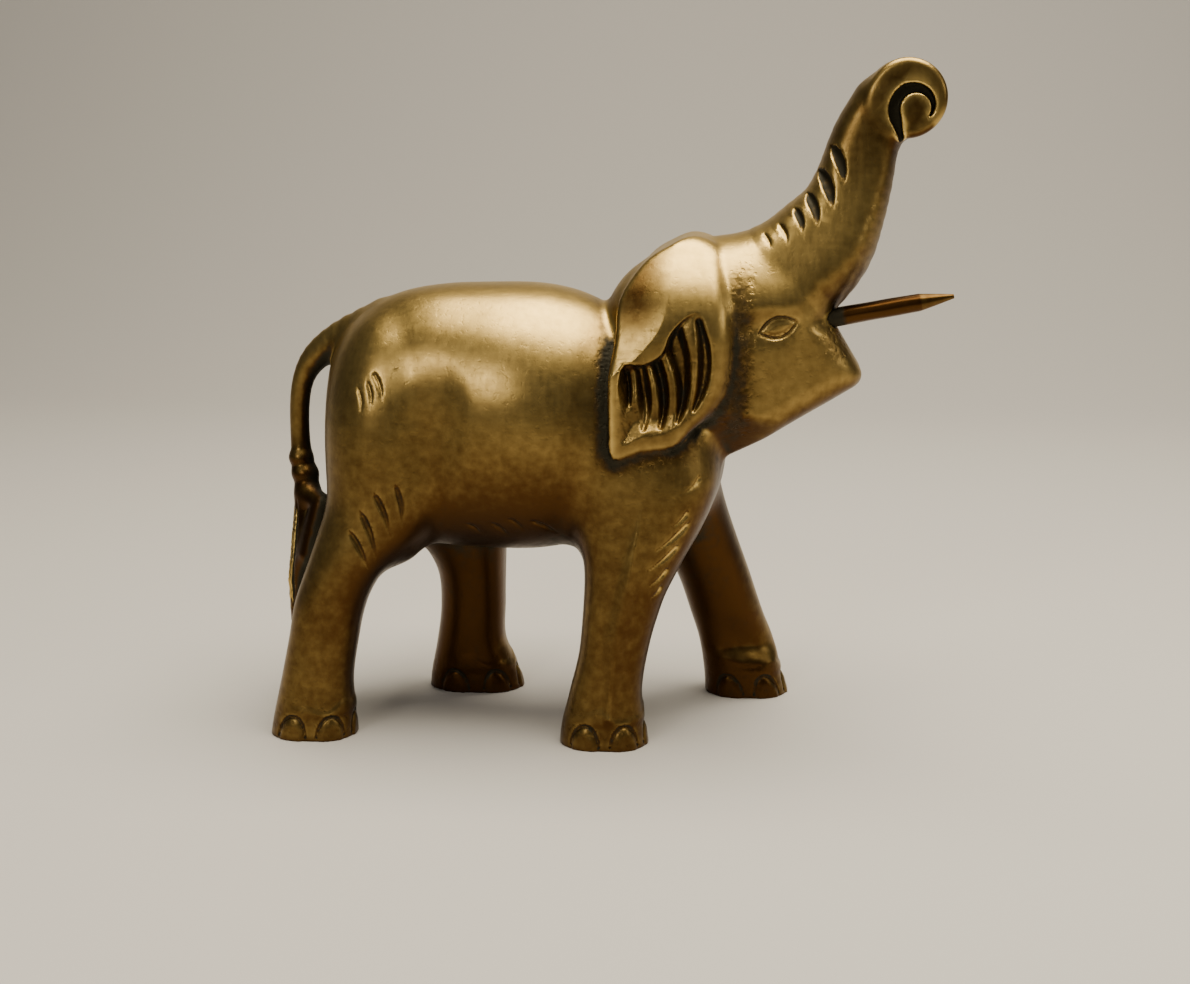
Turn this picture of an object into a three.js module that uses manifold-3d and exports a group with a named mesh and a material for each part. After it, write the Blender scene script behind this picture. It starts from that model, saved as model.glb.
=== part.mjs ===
// Brass elephant figurine with its trunk raised: one casting and two tusk rods set in sockets.
// Millimetres, +X forward (the way the head points), +Y to its left, +Z up.
// The origin is on the ground under the middle of the whole figurine's box.
//
// The casting is a free form. Its pose, proportions and carving are shares of its own height,
// so every x, y, z and radius below that isn't a driving dimension is in hundredths of it.

import * as THREE from 'three';
import Module from 'manifold-3d';
import { edgeTable, triTable } from 'three/addons/objects/MarchingCubes.js';
import { mergeVertices } from 'three/addons/utils/BufferGeometryUtils.js';

// Driving dimensions, in millimetres
const FIGURE_HEIGHT = 178;
const TUSK_DIAMETER = 4.8;
const TUSK_REACH = 31;
const TUSK_POINT = 9;
const TUSK_TIP = 1.2;
const TUSK_SPACING = 14;
const SOCKET_DEPTH = 9;
const SOCKET_CLEARANCE = 0.3;

// How finely the casting is worked out: the step between samples and the triangles kept
const SAMPLE_STEP = 1;
const CASTING_TRIANGLES = 5000;

const SHARE = FIGURE_HEIGHT / 100;
const RIGHT = -1;
const LEFT = 1;

const { abs, atan2, cos, max, min, PI, sin, sqrt } = Math;
const radians = (degrees) => degrees * PI / 180;
const mix = (a, b, t) => a + (b - a) * t;
const span = (a, b, c = 0) => sqrt(a * a + b * b + c * c);
const clamp = (value, low, high) => min(max(value, low), high);

function ease(from, to, value) {
  const t = clamp((value - from) / (to - from), 0, 1);
  return t * t * (3 - 2 * t);
}

// Beyond this distance a form's small features no longer matter
const FAR = 4;

// Joins and cuts of distances. Each is negative inside; blend is the width of the rounded seam.
function join(a, b, blend) {
  const overlap = max(blend - abs(a - b), 0) / blend;
  return min(a, b) - overlap * overlap * blend / 4;
}

const overlapOf = (a, b, blend) => -join(-a, -b, blend);
const cut = (a, tool, blend) => -join(-a, tool, blend);

// Simple forms

function ellipsoid(x, y, z, [cx, cy, cz], [rx, ry, rz]) {
  const u = (x - cx) / rx;
  const v = (y - cy) / ry;
  const w = (z - cz) / rz;
  const reach = span(u, v, w);
  const slope = span(u / rx, v / ry, w / rz);
  return slope > 0 ? reach * (reach - 1) / slope : -min(rx, ry, rz);
}

// A section that lies between an ellipse (power 2) and a rectangle (higher powers)
function roundedSection(u, v, radiusU, radiusV, power) {
  const a = abs(u) / radiusU;
  const b = abs(v) / radiusV;
  const reach = (a ** power + b ** power) ** (1 / power);
  if (reach < 0.05) return -0.95 * min(radiusU, radiusV);
  const scale = reach ** (1 - power);
  const slope = scale * span(a ** (power - 1) / radiusU, b ** (power - 1) / radiusV);
  return (reach - 1) / slope;
}

function segmentShare(p, a, b) {
  let along = 0;
  let length = 0;
  for (let i = 0; i < p.length; i += 1) {
    along += (p[i] - a[i]) * (b[i] - a[i]);
    length += (b[i] - a[i]) ** 2;
  }
  return clamp(along / length, 0, 1);
}

// A chain of round sections: each row is a point with its radius last
function chain(p, rows) {
  let nearest = Infinity;
  const last = p.length;
  for (let i = 0; i + 1 < rows.length; i += 1) {
    const a = rows[i];
    const b = rows[i + 1];
    const t = segmentShare(p, a, b);
    let square = 0;
    for (let k = 0; k < last; k += 1) square += (p[k] - mix(a[k], b[k], t)) ** 2;
    nearest = min(nearest, sqrt(square) - mix(a[last], b[last], t));
  }
  return nearest;
}

function polygon(x, z, corners) {
  let square = Infinity;
  let inside = false;
  for (let i = 0, j = corners.length - 1; i < corners.length; j = i, i += 1) {
    const [ax, az] = corners[i];
    const [bx, bz] = corners[j];
    const along = (x - ax) * (bx - ax) + (z - az) * (bz - az);
    const t = clamp(along / ((bx - ax) ** 2 + (bz - az) ** 2), 0, 1);
    square = min(square, (x - mix(ax, bx, t)) ** 2 + (z - mix(az, bz, t)) ** 2);
    if ((az > z) !== (bz > z) && x < (bx - ax) * (z - az) / (bz - az) + ax) inside = !inside;
  }
  return inside ? -sqrt(square) : sqrt(square);
}

// Rows of values against a rising first value, joined by one smooth curve
function track(rows) {
  const slopes = rows.map((row, i) => {
    const before = rows[max(i - 1, 0)];
    const after = rows[min(i + 1, rows.length - 1)];
    return row.map((_, k) => (after[k] - before[k]) / (after[0] - before[0]));
  });
  return (at) => {
    const h = clamp(at, rows[0][0], rows[rows.length - 1][0]);
    let i = 0;
    while (i + 2 < rows.length && h > rows[i + 1][0]) i += 1;
    const gap = rows[i + 1][0] - rows[i][0];
    const t = (h - rows[i][0]) / gap;
    const a = t * t * (3 - 2 * t);
    const b = t * (1 - t) * (1 - t) * gap;
    const c = t * t * (t - 1) * gap;
    return rows[i].map((v, k) => mix(v, rows[i + 1][k], a) + slopes[i][k] * b + slopes[i + 1][k] * c);
  };
}

// A smooth line through the given rows, as more rows
function smoothRows(rows, pieces) {
  const line = track(rows.map((row, i) => [i, ...row]));
  const count = (rows.length - 1) * pieces;
  return Array.from({ length: count + 1 }, (_, i) => line(i / pieces).slice(1));
}

// A closed smooth outline through the given corners
function smoothOutline(corners, pieces) {
  const count = corners.length;
  const wrapped = [corners[count - 1], ...corners, corners[0], corners[1]];
  const line = track(wrapped.map((row, i) => [i, ...row]));
  return Array.from({ length: count * pieces }, (_, i) => line(1 + i / pieces).slice(1));
}

// Body: the barrel, haunches, shoulders, chest, neck and skull, each melted into the last
const MASSES = [
  { at: [-30.4, 6.8, 43.7], radii: [9.4, 9.6, 18.6], blend: 2.2 },
  { at: [-10, 0, 47.2], radii: [20, 17.3, 18.8], blend: 3 },
  { at: [5.6, 5, 42.6], radii: [12.3, 10.2, 18], blend: 3 },
  { at: [8, 0, 43], radii: [11.9, 12.4, 16], blend: 3 },
  { at: [12, 0, 58], radii: [11.3, 12.4, 14.2], blend: 1.6 },
  { at: [20, 0, 64], radii: [12.5, 11.6, 10.7], blend: 2 },
];
const BARREL = { at: [-15.8, 47.3], radii: [25.1, 20.1], power: 2.7, halfWidth: 15.7, sidePower: 2.3 };

// The hollow of the flank, between the haunch and the ribs
const FLANK = { rows: [[-21.6, 20.4, 61, 4.3], [-22.2, 20.4, 48, 4.9], [-23.4, 19.6, 36, 4.4]], blend: 2.6 };

function barrel(x, side, z) {
  const long = abs(x - BARREL.at[0]) / BARREL.radii[0];
  const tall = abs(z - BARREL.at[1]) / BARREL.radii[1];
  const profile = (long ** BARREL.power + tall ** BARREL.power) ** (1 / BARREL.power);
  const radius = min(...BARREL.radii);
  return roundedSection(profile * radius, side, radius, BARREL.halfWidth, BARREL.sidePower);
}

// Legs: height, back edge, front edge, middle across and half width, from the sole upwards
const LEGS = [
  {
    // Right fore
    side: RIGHT,
    instep: 0.12,
    rows: [
      [-3, -4.1, 9.4, 12.5, 5.1], [2, -3.9, 8.8, 12.4, 4.9], [7.5, -2.7, 8.3, 12.1, 4.6],
      [14, -1.2, 9.1, 11.6, 4.7], [21.5, -0.6, 11.1, 11, 5.2], [26.5, -0.6, 13.4, 10.3, 5.9],
      [32.5, -1.6, 16.5, 9.2, 6.8], [39, -2.5, 18.6, 8, 7.4], [46, -2.5, 17.5, 6.8, 7],
    ],
  },
  {
    // Left fore, the one with the deep instep
    side: LEFT,
    instep: 1.05,
    rows: [
      [-3, 17, 31, 13.8, 5.1], [3, 16.7, 29.3, 13.7, 4.9], [8.8, 15.8, 27.9, 13.3, 4.6],
      [13.5, 14.4, 26, 12.8, 4.7], [19.6, 12.4, 24, 12, 5.1], [28.9, 8, 20.8, 10.5, 6.1],
      [34.5, 4.5, 19.2, 9.2, 6.8], [42, 1, 17.8, 7.4, 7],
    ],
  },
  {
    // Right hind
    side: RIGHT,
    instep: 0.12,
    rows: [
      [-3, -48.9, -35.4, 12.4, 5.1], [2.6, -47.9, -35.5, 12.3, 4.9], [7.7, -46.8, -35.7, 12, 4.7],
      [14, -45.5, -35, 11.5, 4.8], [20, -44.4, -33.7, 10.9, 5.3], [23.7, -43.2, -31.9, 10.4, 5.8],
      [27, -42, -29.2, 10, 6.2], [31, -40.7, -25.2, 9.4, 6.7], [37, -38.9, -21.8, 8.4, 7.2],
      [46, -37.6, -21.5, 6.8, 7],
    ],
  },
  {
    // Left hind
    side: LEFT,
    instep: 0.2,
    rows: [
      [-3, -28.6, -12.7, 12.4, 5.1], [2.2, -28.2, -13.6, 12.3, 4.9], [7.8, -27.1, -15.6, 12, 4.7],
      [14.5, -26.2, -15.8, 11.5, 4.8], [20.3, -26.6, -15.6, 10.9, 5.4], [25, -28.9, -15.4, 10.2, 6.1],
      [31, -33.5, -15.8, 9.3, 6.8], [38, -37, -17, 8.2, 7.2], [46, -37.6, -19, 6.8, 7],
    ],
  },
].map((leg) => {
  const edges = leg.rows.flatMap(([, back, front]) => [back, front]);
  const middle = (min(...edges) + max(...edges)) / 2;
  return { ...leg, at: track(leg.rows), middle, reach: max(...edges) - middle + FAR };
});
const LEG_POWER = 2.35;
const LEG_TOP = 46;
const LEG_BLEND = 2.6;
const BELOW_GROUND = -1.4;

// Toenails: arched pads fanned about each foot's front
const NAILS = {
  angles: [0, 57, -57, 112, -112], halfWidth: 1.9, top: 3.6, raise: 0.3, slope: 0.7,
  line: 0.36, margin: 1.06, start: -0.4, reach: 12,
};

function toenails(around, z, radius) {
  let relief = 0;
  for (const angle of NAILS.angles) {
    const turn = atan2(sin(around - radians(angle)), cos(around - radians(angle)));
    const edge = (span(turn * radius / NAILS.halfWidth, max(z, 0) / NAILS.top) - 1) * NAILS.halfWidth;
    relief += NAILS.raise * ease(0, -NAILS.slope, edge);
  }
  return relief;
}

// The hollow above the nails on a foot's front, as deep as the leg's own instep
const INSTEP = { height: 8.4, halfHeight: 3.6, halfAngle: radians(64) };

function instep(around, z) {
  const up = (z - INSTEP.height) / INSTEP.halfHeight;
  return ease(1, 0, span(up, around / INSTEP.halfAngle));
}

function legDistance(leg, x, y, z) {
  const [, back, front, middle, halfWidth] = leg.at(z);
  const along = x - (back + front) / 2;
  const across = y - leg.side * middle;
  const radius = (front - back) / 2;
  const around = atan2(across / halfWidth, along / radius);
  let d = roundedSection(along, across, radius, halfWidth, LEG_POWER);
  if (d < FAR && z < INSTEP.height + INSTEP.halfHeight) {
    d -= toenails(around, z, (radius + halfWidth) / 2) - leg.instep * instep(around, z);
  }
  return overlapOf(d, z - LEG_TOP, 1);
}

// Jaw: a wedge with a sloping mouth face, a rising underside and cheeks that draw in to the lip
const JAW = {
  lip: [40.5, 53.9], mouthNormal: [0.856, 0.516], underNormal: [0.486, -0.874], lipRound: 3,
  cheek: { at: 22, halfWidth: 12, draw: 0.33, round: 4 },
  chamfer: { at: [24, 9.6, 47.4], normal: [0.1, 0.74, -0.66], round: 0.8 },
  back: 15, backRound: 3, top: 68, topRound: 7, blend: 1.6,
};

function jaw(x, side, z) {
  const [lipX, lipZ] = JAW.lip;
  const mouth = (x - lipX) * JAW.mouthNormal[0] + (z - lipZ) * JAW.mouthNormal[1];
  const under = (x - lipX) * JAW.underNormal[0] + (z - lipZ) * JAW.underNormal[1];
  const cheek = side - JAW.cheek.halfWidth + (x - JAW.cheek.at) * JAW.cheek.draw;
  const [ax, ay, az] = JAW.chamfer.at;
  const [nx, ny, nz] = JAW.chamfer.normal;
  const chamfer = (x - ax) * nx + (side - ay) * ny + (z - az) * nz;
  let d = overlapOf(mouth, under, JAW.lipRound);
  d = overlapOf(d, cheek, JAW.cheek.round);
  d = overlapOf(d, chamfer, JAW.chamfer.round);
  d = overlapOf(d, JAW.back - x, JAW.backRound);
  return overlapOf(d, z - JAW.top, JAW.topRound);
}

// Trunk: the line of its middle with its half thickness, seen from the side
const TRUNK_LINE = smoothRows([
  [23, 65.6, 9.3], [29.2, 69.4, 8.4], [33.3, 73.4, 7.7], [36, 77.6, 6.4],
  [37.8, 82.5, 5.6], [39.3, 88.4, 5], [41.8, 93, 4.9],
], 3).map(([x, z, radius]) => [x, 0, z, radius]);
const TRUNK = { squash: 0.86, edge: 1.6, rootBlend: 2.6, blend: 1, rootTop: 67, free: 77 };
const trunkSide = track([[60, 12], [70, 8.6], [80, 5.7], [88, 4.6], [94, 4.2], [101, 4]]);

// Curl: a flat-sided roll at the trunk's end, with a spiral cut in each side
const CURL = { at: [44.9, 94.4], radius: 5.65, halfWidth: 4.1, round: 1.3, blend: 1, bottom: 80 };
const SPIRAL = {
  boss: [46.1, 92.9], bossRadius: 2.05, from: radians(-28), to: radians(205),
  thin: 0.15, wide: 0.85, growth: 0.25, depth: 1.5, edge: 0.25, mouth: [44.2, 88.6], mouthShare: 0.3, steps: 12,
};
const SPIRAL_LINE = Array.from({ length: SPIRAL.steps + 1 }, (_, i) => {
  const t = i / SPIRAL.steps;
  const angle = mix(SPIRAL.from, SPIRAL.to, t);
  const halfWidth = mix(SPIRAL.thin, SPIRAL.wide, min(1, t * 1.6));
  const radius = SPIRAL.bossRadius + halfWidth + SPIRAL.growth * t;
  return [SPIRAL.boss[0] + radius * cos(angle), SPIRAL.boss[1] + radius * sin(angle), halfWidth];
}).concat([[...SPIRAL.mouth, SPIRAL.wide * SPIRAL.mouthShare]]);

function trunk(x, side, z) {
  const tube = chain([x, side * TRUNK.squash, z], TRUNK_LINE);
  const [, flat] = trunkSide(z);
  let d = overlapOf(tube, side - flat, TRUNK.edge);
  if (z > CURL.bottom) {
    const disc = span(x - CURL.at[0], z - CURL.at[1]) - CURL.radius;
    d = join(d, overlapOf(disc, side - CURL.halfWidth, CURL.round), CURL.blend);
    const groove = chain([x, z], SPIRAL_LINE);
    d = cut(d, max(groove, CURL.halfWidth - SPIRAL.depth - side), SPIRAL.edge);
  }
  return d;
}

// Tail: a cord that leaves the rump, hangs clear of it and ends in a tuft on the right hind leg
const TAIL_LINE = smoothRows([
  [-32, 0, 60.2, 4.6], [-38.6, 0, 58.6, 2.9], [-42.7, 0, 56, 2.15], [-44.9, 0, 52.6, 1.65],
  [-45.75, 0, 48, 1.5], [-45.8, 0, 42.6, 1.5], [-45.4, -0.4, 38.9, 1.8], [-44.6, -1.3, 35.4, 1.9],
  [-44.3, -2.9, 28.5, 2.55], [-44.9, -4.3, 21.5, 2.35], [-45.9, -5.2, 15.6, 1],
], 3);
const TAIL = { front: -26, blend: 0.9, webTop: 40, webBlend: 1.4 };

// The metal left standing between the tuft and the leg
const TAIL_WEB = [
  [-44.7, -1.8, 35, 1.4], [-41.6, -4.4, 33.4, 1.9], [-43.2, -6, 26, 1.9], [-45.3, -4.6, 22, 1.3],
];

// Ear: a slab that stands off the shoulder, its upper back edge turned over a fluted hollow.
// The hollow fades out towards the front; each flute's rows end in its half width.
const EAR = {
  outline: smoothOutline([
    [4.1, 43.9], [7.9, 45], [12.6, 45.6], [15.2, 48], [17.6, 49.9], [19.7, 52.8], [20.6, 57.5],
    [20.6, 63], [20, 68.5], [18.6, 73], [15, 74.6], [11.4, 73.3], [8, 70.9], [5, 66.2], [4.6, 61],
    [3.8, 56], [3.7, 49],
  ], 2),
  hollow: smoothOutline([
    [4.9, 46.2], [8.2, 46.9], [11.8, 47.4], [15, 49.4], [17.3, 51.6], [18.4, 55], [18.4, 60.5],
    [16.6, 64.6], [14.4, 64.4], [12, 61.9], [10.8, 59.1], [8.4, 57.7], [5, 56.9],
  ], 2),
  fold: [[55.8, 3.8], [58.7, 7.6], [62.6, 10.6], [66, 11.6], [74.6, 12.4]],
  flutes: [
    [[7.3, 56.4, 1], [8.5, 52.6, 0.7], [8.6, 48.4, 0.2]],
    [[10.4, 58.2, 0.9], [11.7, 53, 0.7], [11.6, 48.6, 0.2]],
    [[12.9, 62.2, 0.9], [14.5, 56.4, 0.9], [14.2, 49.6, 0.2]],
    [[16.2, 62.6, 0.3], [17.2, 57, 0.8], [16, 51.4, 0.2]],
  ],
  faceBack: 17.2, faceDraw: 0.17, middle: 60, bow: 0.004, crownBow: 0.038, turnBack: 0.34, margin: 0.3,
  hollowDepth: 1.35, lip: 0.8, fadeFrom: 9, fadeTo: 18, fluteDepth: 1.2, fluteLip: 0.9,
  backEdge: 0.9, frontEdge: 3.2, edgeFrom: 12, edgeTo: 20, blend: 0.7,
};
const foldAt = track(EAR.fold);

function earFace(x, z) {
  const bow = z > EAR.middle ? EAR.crownBow : EAR.bow;
  let face = EAR.faceBack - EAR.faceDraw * (x - EAR.outline[0][0]) - bow * (z - EAR.middle) ** 2;
  const [, fold] = foldAt(z);
  if (z > EAR.fold[0][0]) face -= EAR.turnBack * max(0, fold - x);
  const hollow = polygon(x, z, EAR.hollow);
  if (hollow < 0) {
    face -= EAR.hollowDepth * ease(0, -EAR.lip, hollow) * ease(EAR.fadeTo, EAR.fadeFrom, x);
    for (const flute of EAR.flutes) {
      const away = chain([x, z], flute);
      face -= EAR.fluteDepth * ease(0.2, -EAR.lip, away) * ease(0, -EAR.fluteLip, hollow);
    }
  }
  return face;
}

function ear(x, side, z) {
  const outline = polygon(x, z, EAR.outline) - EAR.margin;
  if (outline > FAR) return outline;
  const front = side - earFace(x, z);
  const edge = mix(EAR.backEdge, EAR.frontEdge, ease(EAR.edgeFrom, EAR.edgeTo, x));
  return overlapOf(outline, front, edge);
}

// Eye: an almond with a leaf inside it, in a shallow hollow under the brow
const EYE = {
  rear: [24.7, 61.5], front: [30, 63], halfHeight: 1.45, line: 0.4, innermost: 6,
  leafRaise: 0.25, leafMargin: 0.4, leafSlope: 0.9,
};
const BROW = { at: [28, 13.6, 62.4], radii: [6.2, 3, 2.6], blend: 2.2 };
const MOUTH_CORNER = {
  rows: [[38, 4.5, 63.3, 1.7], [34, 8.8, 62.9, 1.35], [31.6, 10.9, 62.2, 0.6]],
  blend: 1.1,
};
const CHEEK_CREASE = {
  rows: [[21.9, 12, 71, 0.9], [22, 14, 60, 1.1], [21.8, 13.2, 47.5, 0.9]],
  blend: 1.2,
};

function eyeEdge(x, z) {
  const [rx, rz] = EYE.rear;
  const [fx, fz] = EYE.front;
  const half = span(fx - rx, fz - rz) / 2;
  const along = ((x - (rx + fx) / 2) * (fx - rx) + (z - (rz + fz) / 2) * (fz - rz)) / (2 * half);
  const across = ((z - (rz + fz) / 2) * (fx - rx) - (x - (rx + fx) / 2) * (fz - rz)) / (2 * half);
  const radius = (half ** 2 + EYE.halfHeight ** 2) / (2 * EYE.halfHeight);
  return span(along, abs(across) + radius - EYE.halfHeight) - radius;
}

// The parts of the figure that hold each group of features: x from and to, z from and to
const HEAD = [12, Infinity, 38, Infinity];
const FACE = [20, 40, 56, 70];
const CREASE = [17, 27, 43, 75];
const EARS = [-2, 26, 40, 80];
const FLANKS_END = -10;
const within = (x, z, [back, front, bottom, top]) => x > back && x < front && z > bottom && z < top;

function uncarved(x, y, z) {
  const side = abs(y);
  let d = barrel(x, side, z);
  for (const mass of MASSES) d = join(d, ellipsoid(x, side, z, mass.at, mass.radii), mass.blend);
  if (x < FLANKS_END) d = cut(d, chain([x, side, z], FLANK.rows), FLANK.blend);
  if (within(x, z, HEAD)) {
    d = join(d, jaw(x, side, z), JAW.blend);
    const blend = mix(TRUNK.rootBlend, TRUNK.blend, ease(TRUNK.rootTop, TRUNK.free, z));
    d = join(d, trunk(x, side, z), blend);
  }
  for (const leg of LEGS) {
    const near = y * leg.side > -FAR && z < LEG_TOP + FAR && abs(x - leg.middle) < leg.reach;
    if (near) d = join(d, legDistance(leg, x, y, z), LEG_BLEND);
  }
  if (x < TAIL.front) {
    d = join(d, chain([x, y, z], TAIL_LINE), TAIL.blend);
    if (z < TAIL.webTop) d = join(d, chain([x, y, z], TAIL_WEB), TAIL.webBlend);
  }
  return d;
}

function dressed(x, y, z) {
  const side = abs(y);
  let d = uncarved(x, y, z);
  if (within(x, z, FACE)) {
    d = cut(d, ellipsoid(x, side, z, BROW.at, BROW.radii), BROW.blend);
    d = cut(d, chain([x, side, z], MOUTH_CORNER.rows), MOUTH_CORNER.blend);
    const leaf = eyeEdge(x, z) + EYE.leafMargin;
    if (side > EYE.innermost) d -= EYE.leafRaise * ease(0, -EYE.leafSlope, leaf);
  }
  if (within(x, z, CREASE)) d = cut(d, chain([x, side, z], CHEEK_CREASE.rows), CHEEK_CREASE.blend);
  if (within(x, z, EARS)) d = join(d, ear(x, side, z), EAR.blend);
  return max(d, BELOW_GROUND - z);
}

// Skin of the figure: the surface where the distance is nought, found cube by cube on a grid.
// Blocks that lie well inside or outside are passed over.
const legRows = LEGS.flatMap((leg) => leg.rows);
const rear = min(...legRows.map(([, back]) => back), ...TAIL_LINE.map(([x, , , radius]) => x - radius));
const halfWidth = max(BARREL.halfWidth, EAR.faceBack, ...legRows.map((row) => row[3] + row[4]));
const REGION = {
  low: [rear - FAR, -halfWidth - FAR, BELOW_GROUND - 1],
  high: [CURL.at[0] + CURL.radius + FAR, halfWidth + FAR, CURL.at[1] + CURL.radius + FAR],
};
const BLOCK = 4;
const BLOCK_SLACK = 2.3;
const CORNERS = [[0, 0, 0], [1, 0, 0], [1, 1, 0], [0, 1, 0], [0, 0, 1], [1, 0, 1], [1, 1, 1], [0, 1, 1]];
const EDGES = [
  [0, 1], [1, 2], [3, 2], [0, 3], [4, 5], [5, 6], [7, 6], [4, 7], [0, 4], [1, 5], [2, 6], [3, 7],
];

function skin(distance, step) {
  const counts = REGION.low.map((low, i) => Math.ceil((REGION.high[i] - low) / step / BLOCK) * BLOCK);
  const [nx, ny] = counts.map((count) => count + 1);
  const place = (i, axis) => REGION.low[axis] + i * step;
  const key = (i, j, k) => i + nx * (j + ny * k);
  const samples = new Map();
  const sample = (i, j, k) => {
    const id = key(i, j, k);
    if (!samples.has(id)) {
      const value = distance(place(i, 0), place(j, 1), place(k, 2));
      const nudge = 0.02 * step;
      samples.set(id, abs(value) < nudge ? (value < 0 ? -nudge : nudge) : value);
    }
    return samples.get(id);
  };
  const positions = [];
  const triangles = [];
  const crossings = new Map();
  const crossing = (i, j, k, edge) => {
    const [a, b] = EDGES[edge].map((corner) => CORNERS[corner].map((c, axis) => c + [i, j, k][axis]));
    const axis = edge >= 8 ? 2 : edge % 2;
    const id = 3 * key(...a) + axis;
    if (!crossings.has(id)) {
      const va = sample(...a);
      const t = va / (va - sample(...b));
      crossings.set(id, positions.length / 3);
      for (let k3 = 0; k3 < 3; k3 += 1) positions.push(mix(place(a[k3], k3), place(b[k3], k3), t));
    }
    return crossings.get(id);
  };
  const cube = (i, j, k) => {
    let index = 0;
    CORNERS.forEach(([a, b, c], bit) => {
      if (sample(i + a, j + b, k + c) > 0) index |= 1 << bit;
    });
    if (edgeTable[index] === 0) return;
    for (let n = index * 16; triTable[n] !== -1; n += 3) {
      triangles.push(crossing(i, j, k, triTable[n]), crossing(i, j, k, triTable[n + 1]));
      triangles.push(crossing(i, j, k, triTable[n + 2]));
    }
  };
  const half = BLOCK / 2;
  const far = BLOCK_SLACK * half * step * sqrt(3);
  for (let bk = 0; bk < counts[2]; bk += BLOCK) {
    for (let bj = 0; bj < counts[1]; bj += BLOCK) {
      for (let bi = 0; bi < counts[0]; bi += BLOCK) {
        if (abs(distance(place(bi + half, 0), place(bj + half, 1), place(bk + half, 2))) > far) continue;
        for (let k = bk; k < bk + BLOCK; k += 1) {
          for (let j = bj; j < bj + BLOCK; j += 1) {
            for (let i = bi; i < bi + BLOCK; i += 1) cube(i, j, k);
          }
        }
      }
    }
  }
  return { positions, triangles };
}

// Thinning: edges are drawn together, the one that changes the form least first.
// A quadric sums the squared distances to the planes round a point, as ten numbers.
const QUADRIC = 10;

function planeQuadric(normal, offset, weight) {
  const [a, b, c] = normal;
  return [a * a, a * b, a * c, a * offset, b * b, b * c, b * offset, c * c, c * offset, offset * offset]
    .map((value) => value * weight);
}

function quadricCost(q, x, y, z) {
  return q[0] * x * x + 2 * q[1] * x * y + 2 * q[2] * x * z + 2 * q[3] * x + q[4] * y * y
    + 2 * q[5] * y * z + 2 * q[6] * y + q[7] * z * z + 2 * q[8] * z + q[9];
}

function quadricBest(q, fallback) {
  const [a, b, c, d, e, f, g, h, i] = q;
  const determinant = a * (e * h - f * f) - b * (b * h - f * c) + c * (b * f - e * c);
  if (abs(determinant) < 1e-4 * (a + e + h) ** 3) return fallback;
  const x = -(d * (e * h - f * f) - b * (g * h - f * i) + c * (g * f - e * i)) / determinant;
  const y = -(a * (g * h - i * f) - d * (b * h - f * c) + c * (b * i - g * c)) / determinant;
  const z = -(a * (e * i - f * g) - b * (b * i - g * c) + d * (b * f - e * c)) / determinant;
  return [x, y, z];
}

class Heap {
  constructor() {
    this.items = [];
  }

  push(item) {
    const { items } = this;
    let i = items.push(item) - 1;
    while (i > 0) {
      const parent = (i - 1) >> 1;
      if (items[parent].cost <= item.cost) break;
      items[i] = items[parent];
      i = parent;
    }
    items[i] = item;
  }

  pop() {
    const { items } = this;
    const top = items[0];
    const item = items.pop();
    if (items.length === 0) return top;
    let i = 0;
    for (;;) {
      let child = 2 * i + 1;
      if (child >= items.length) break;
      if (child + 1 < items.length && items[child + 1].cost < items[child].cost) child += 1;
      if (items[child].cost >= item.cost) break;
      items[i] = items[child];
      i = child;
    }
    items[i] = item;
    return top;
  }
}

function faceNormal(a, b, c) {
  const u = [b[0] - a[0], b[1] - a[1], b[2] - a[2]];
  const v = [c[0] - a[0], c[1] - a[1], c[2] - a[2]];
  return [u[1] * v[2] - u[2] * v[1], u[2] * v[0] - u[0] * v[2], u[0] * v[1] - u[1] * v[0]];
}

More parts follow.
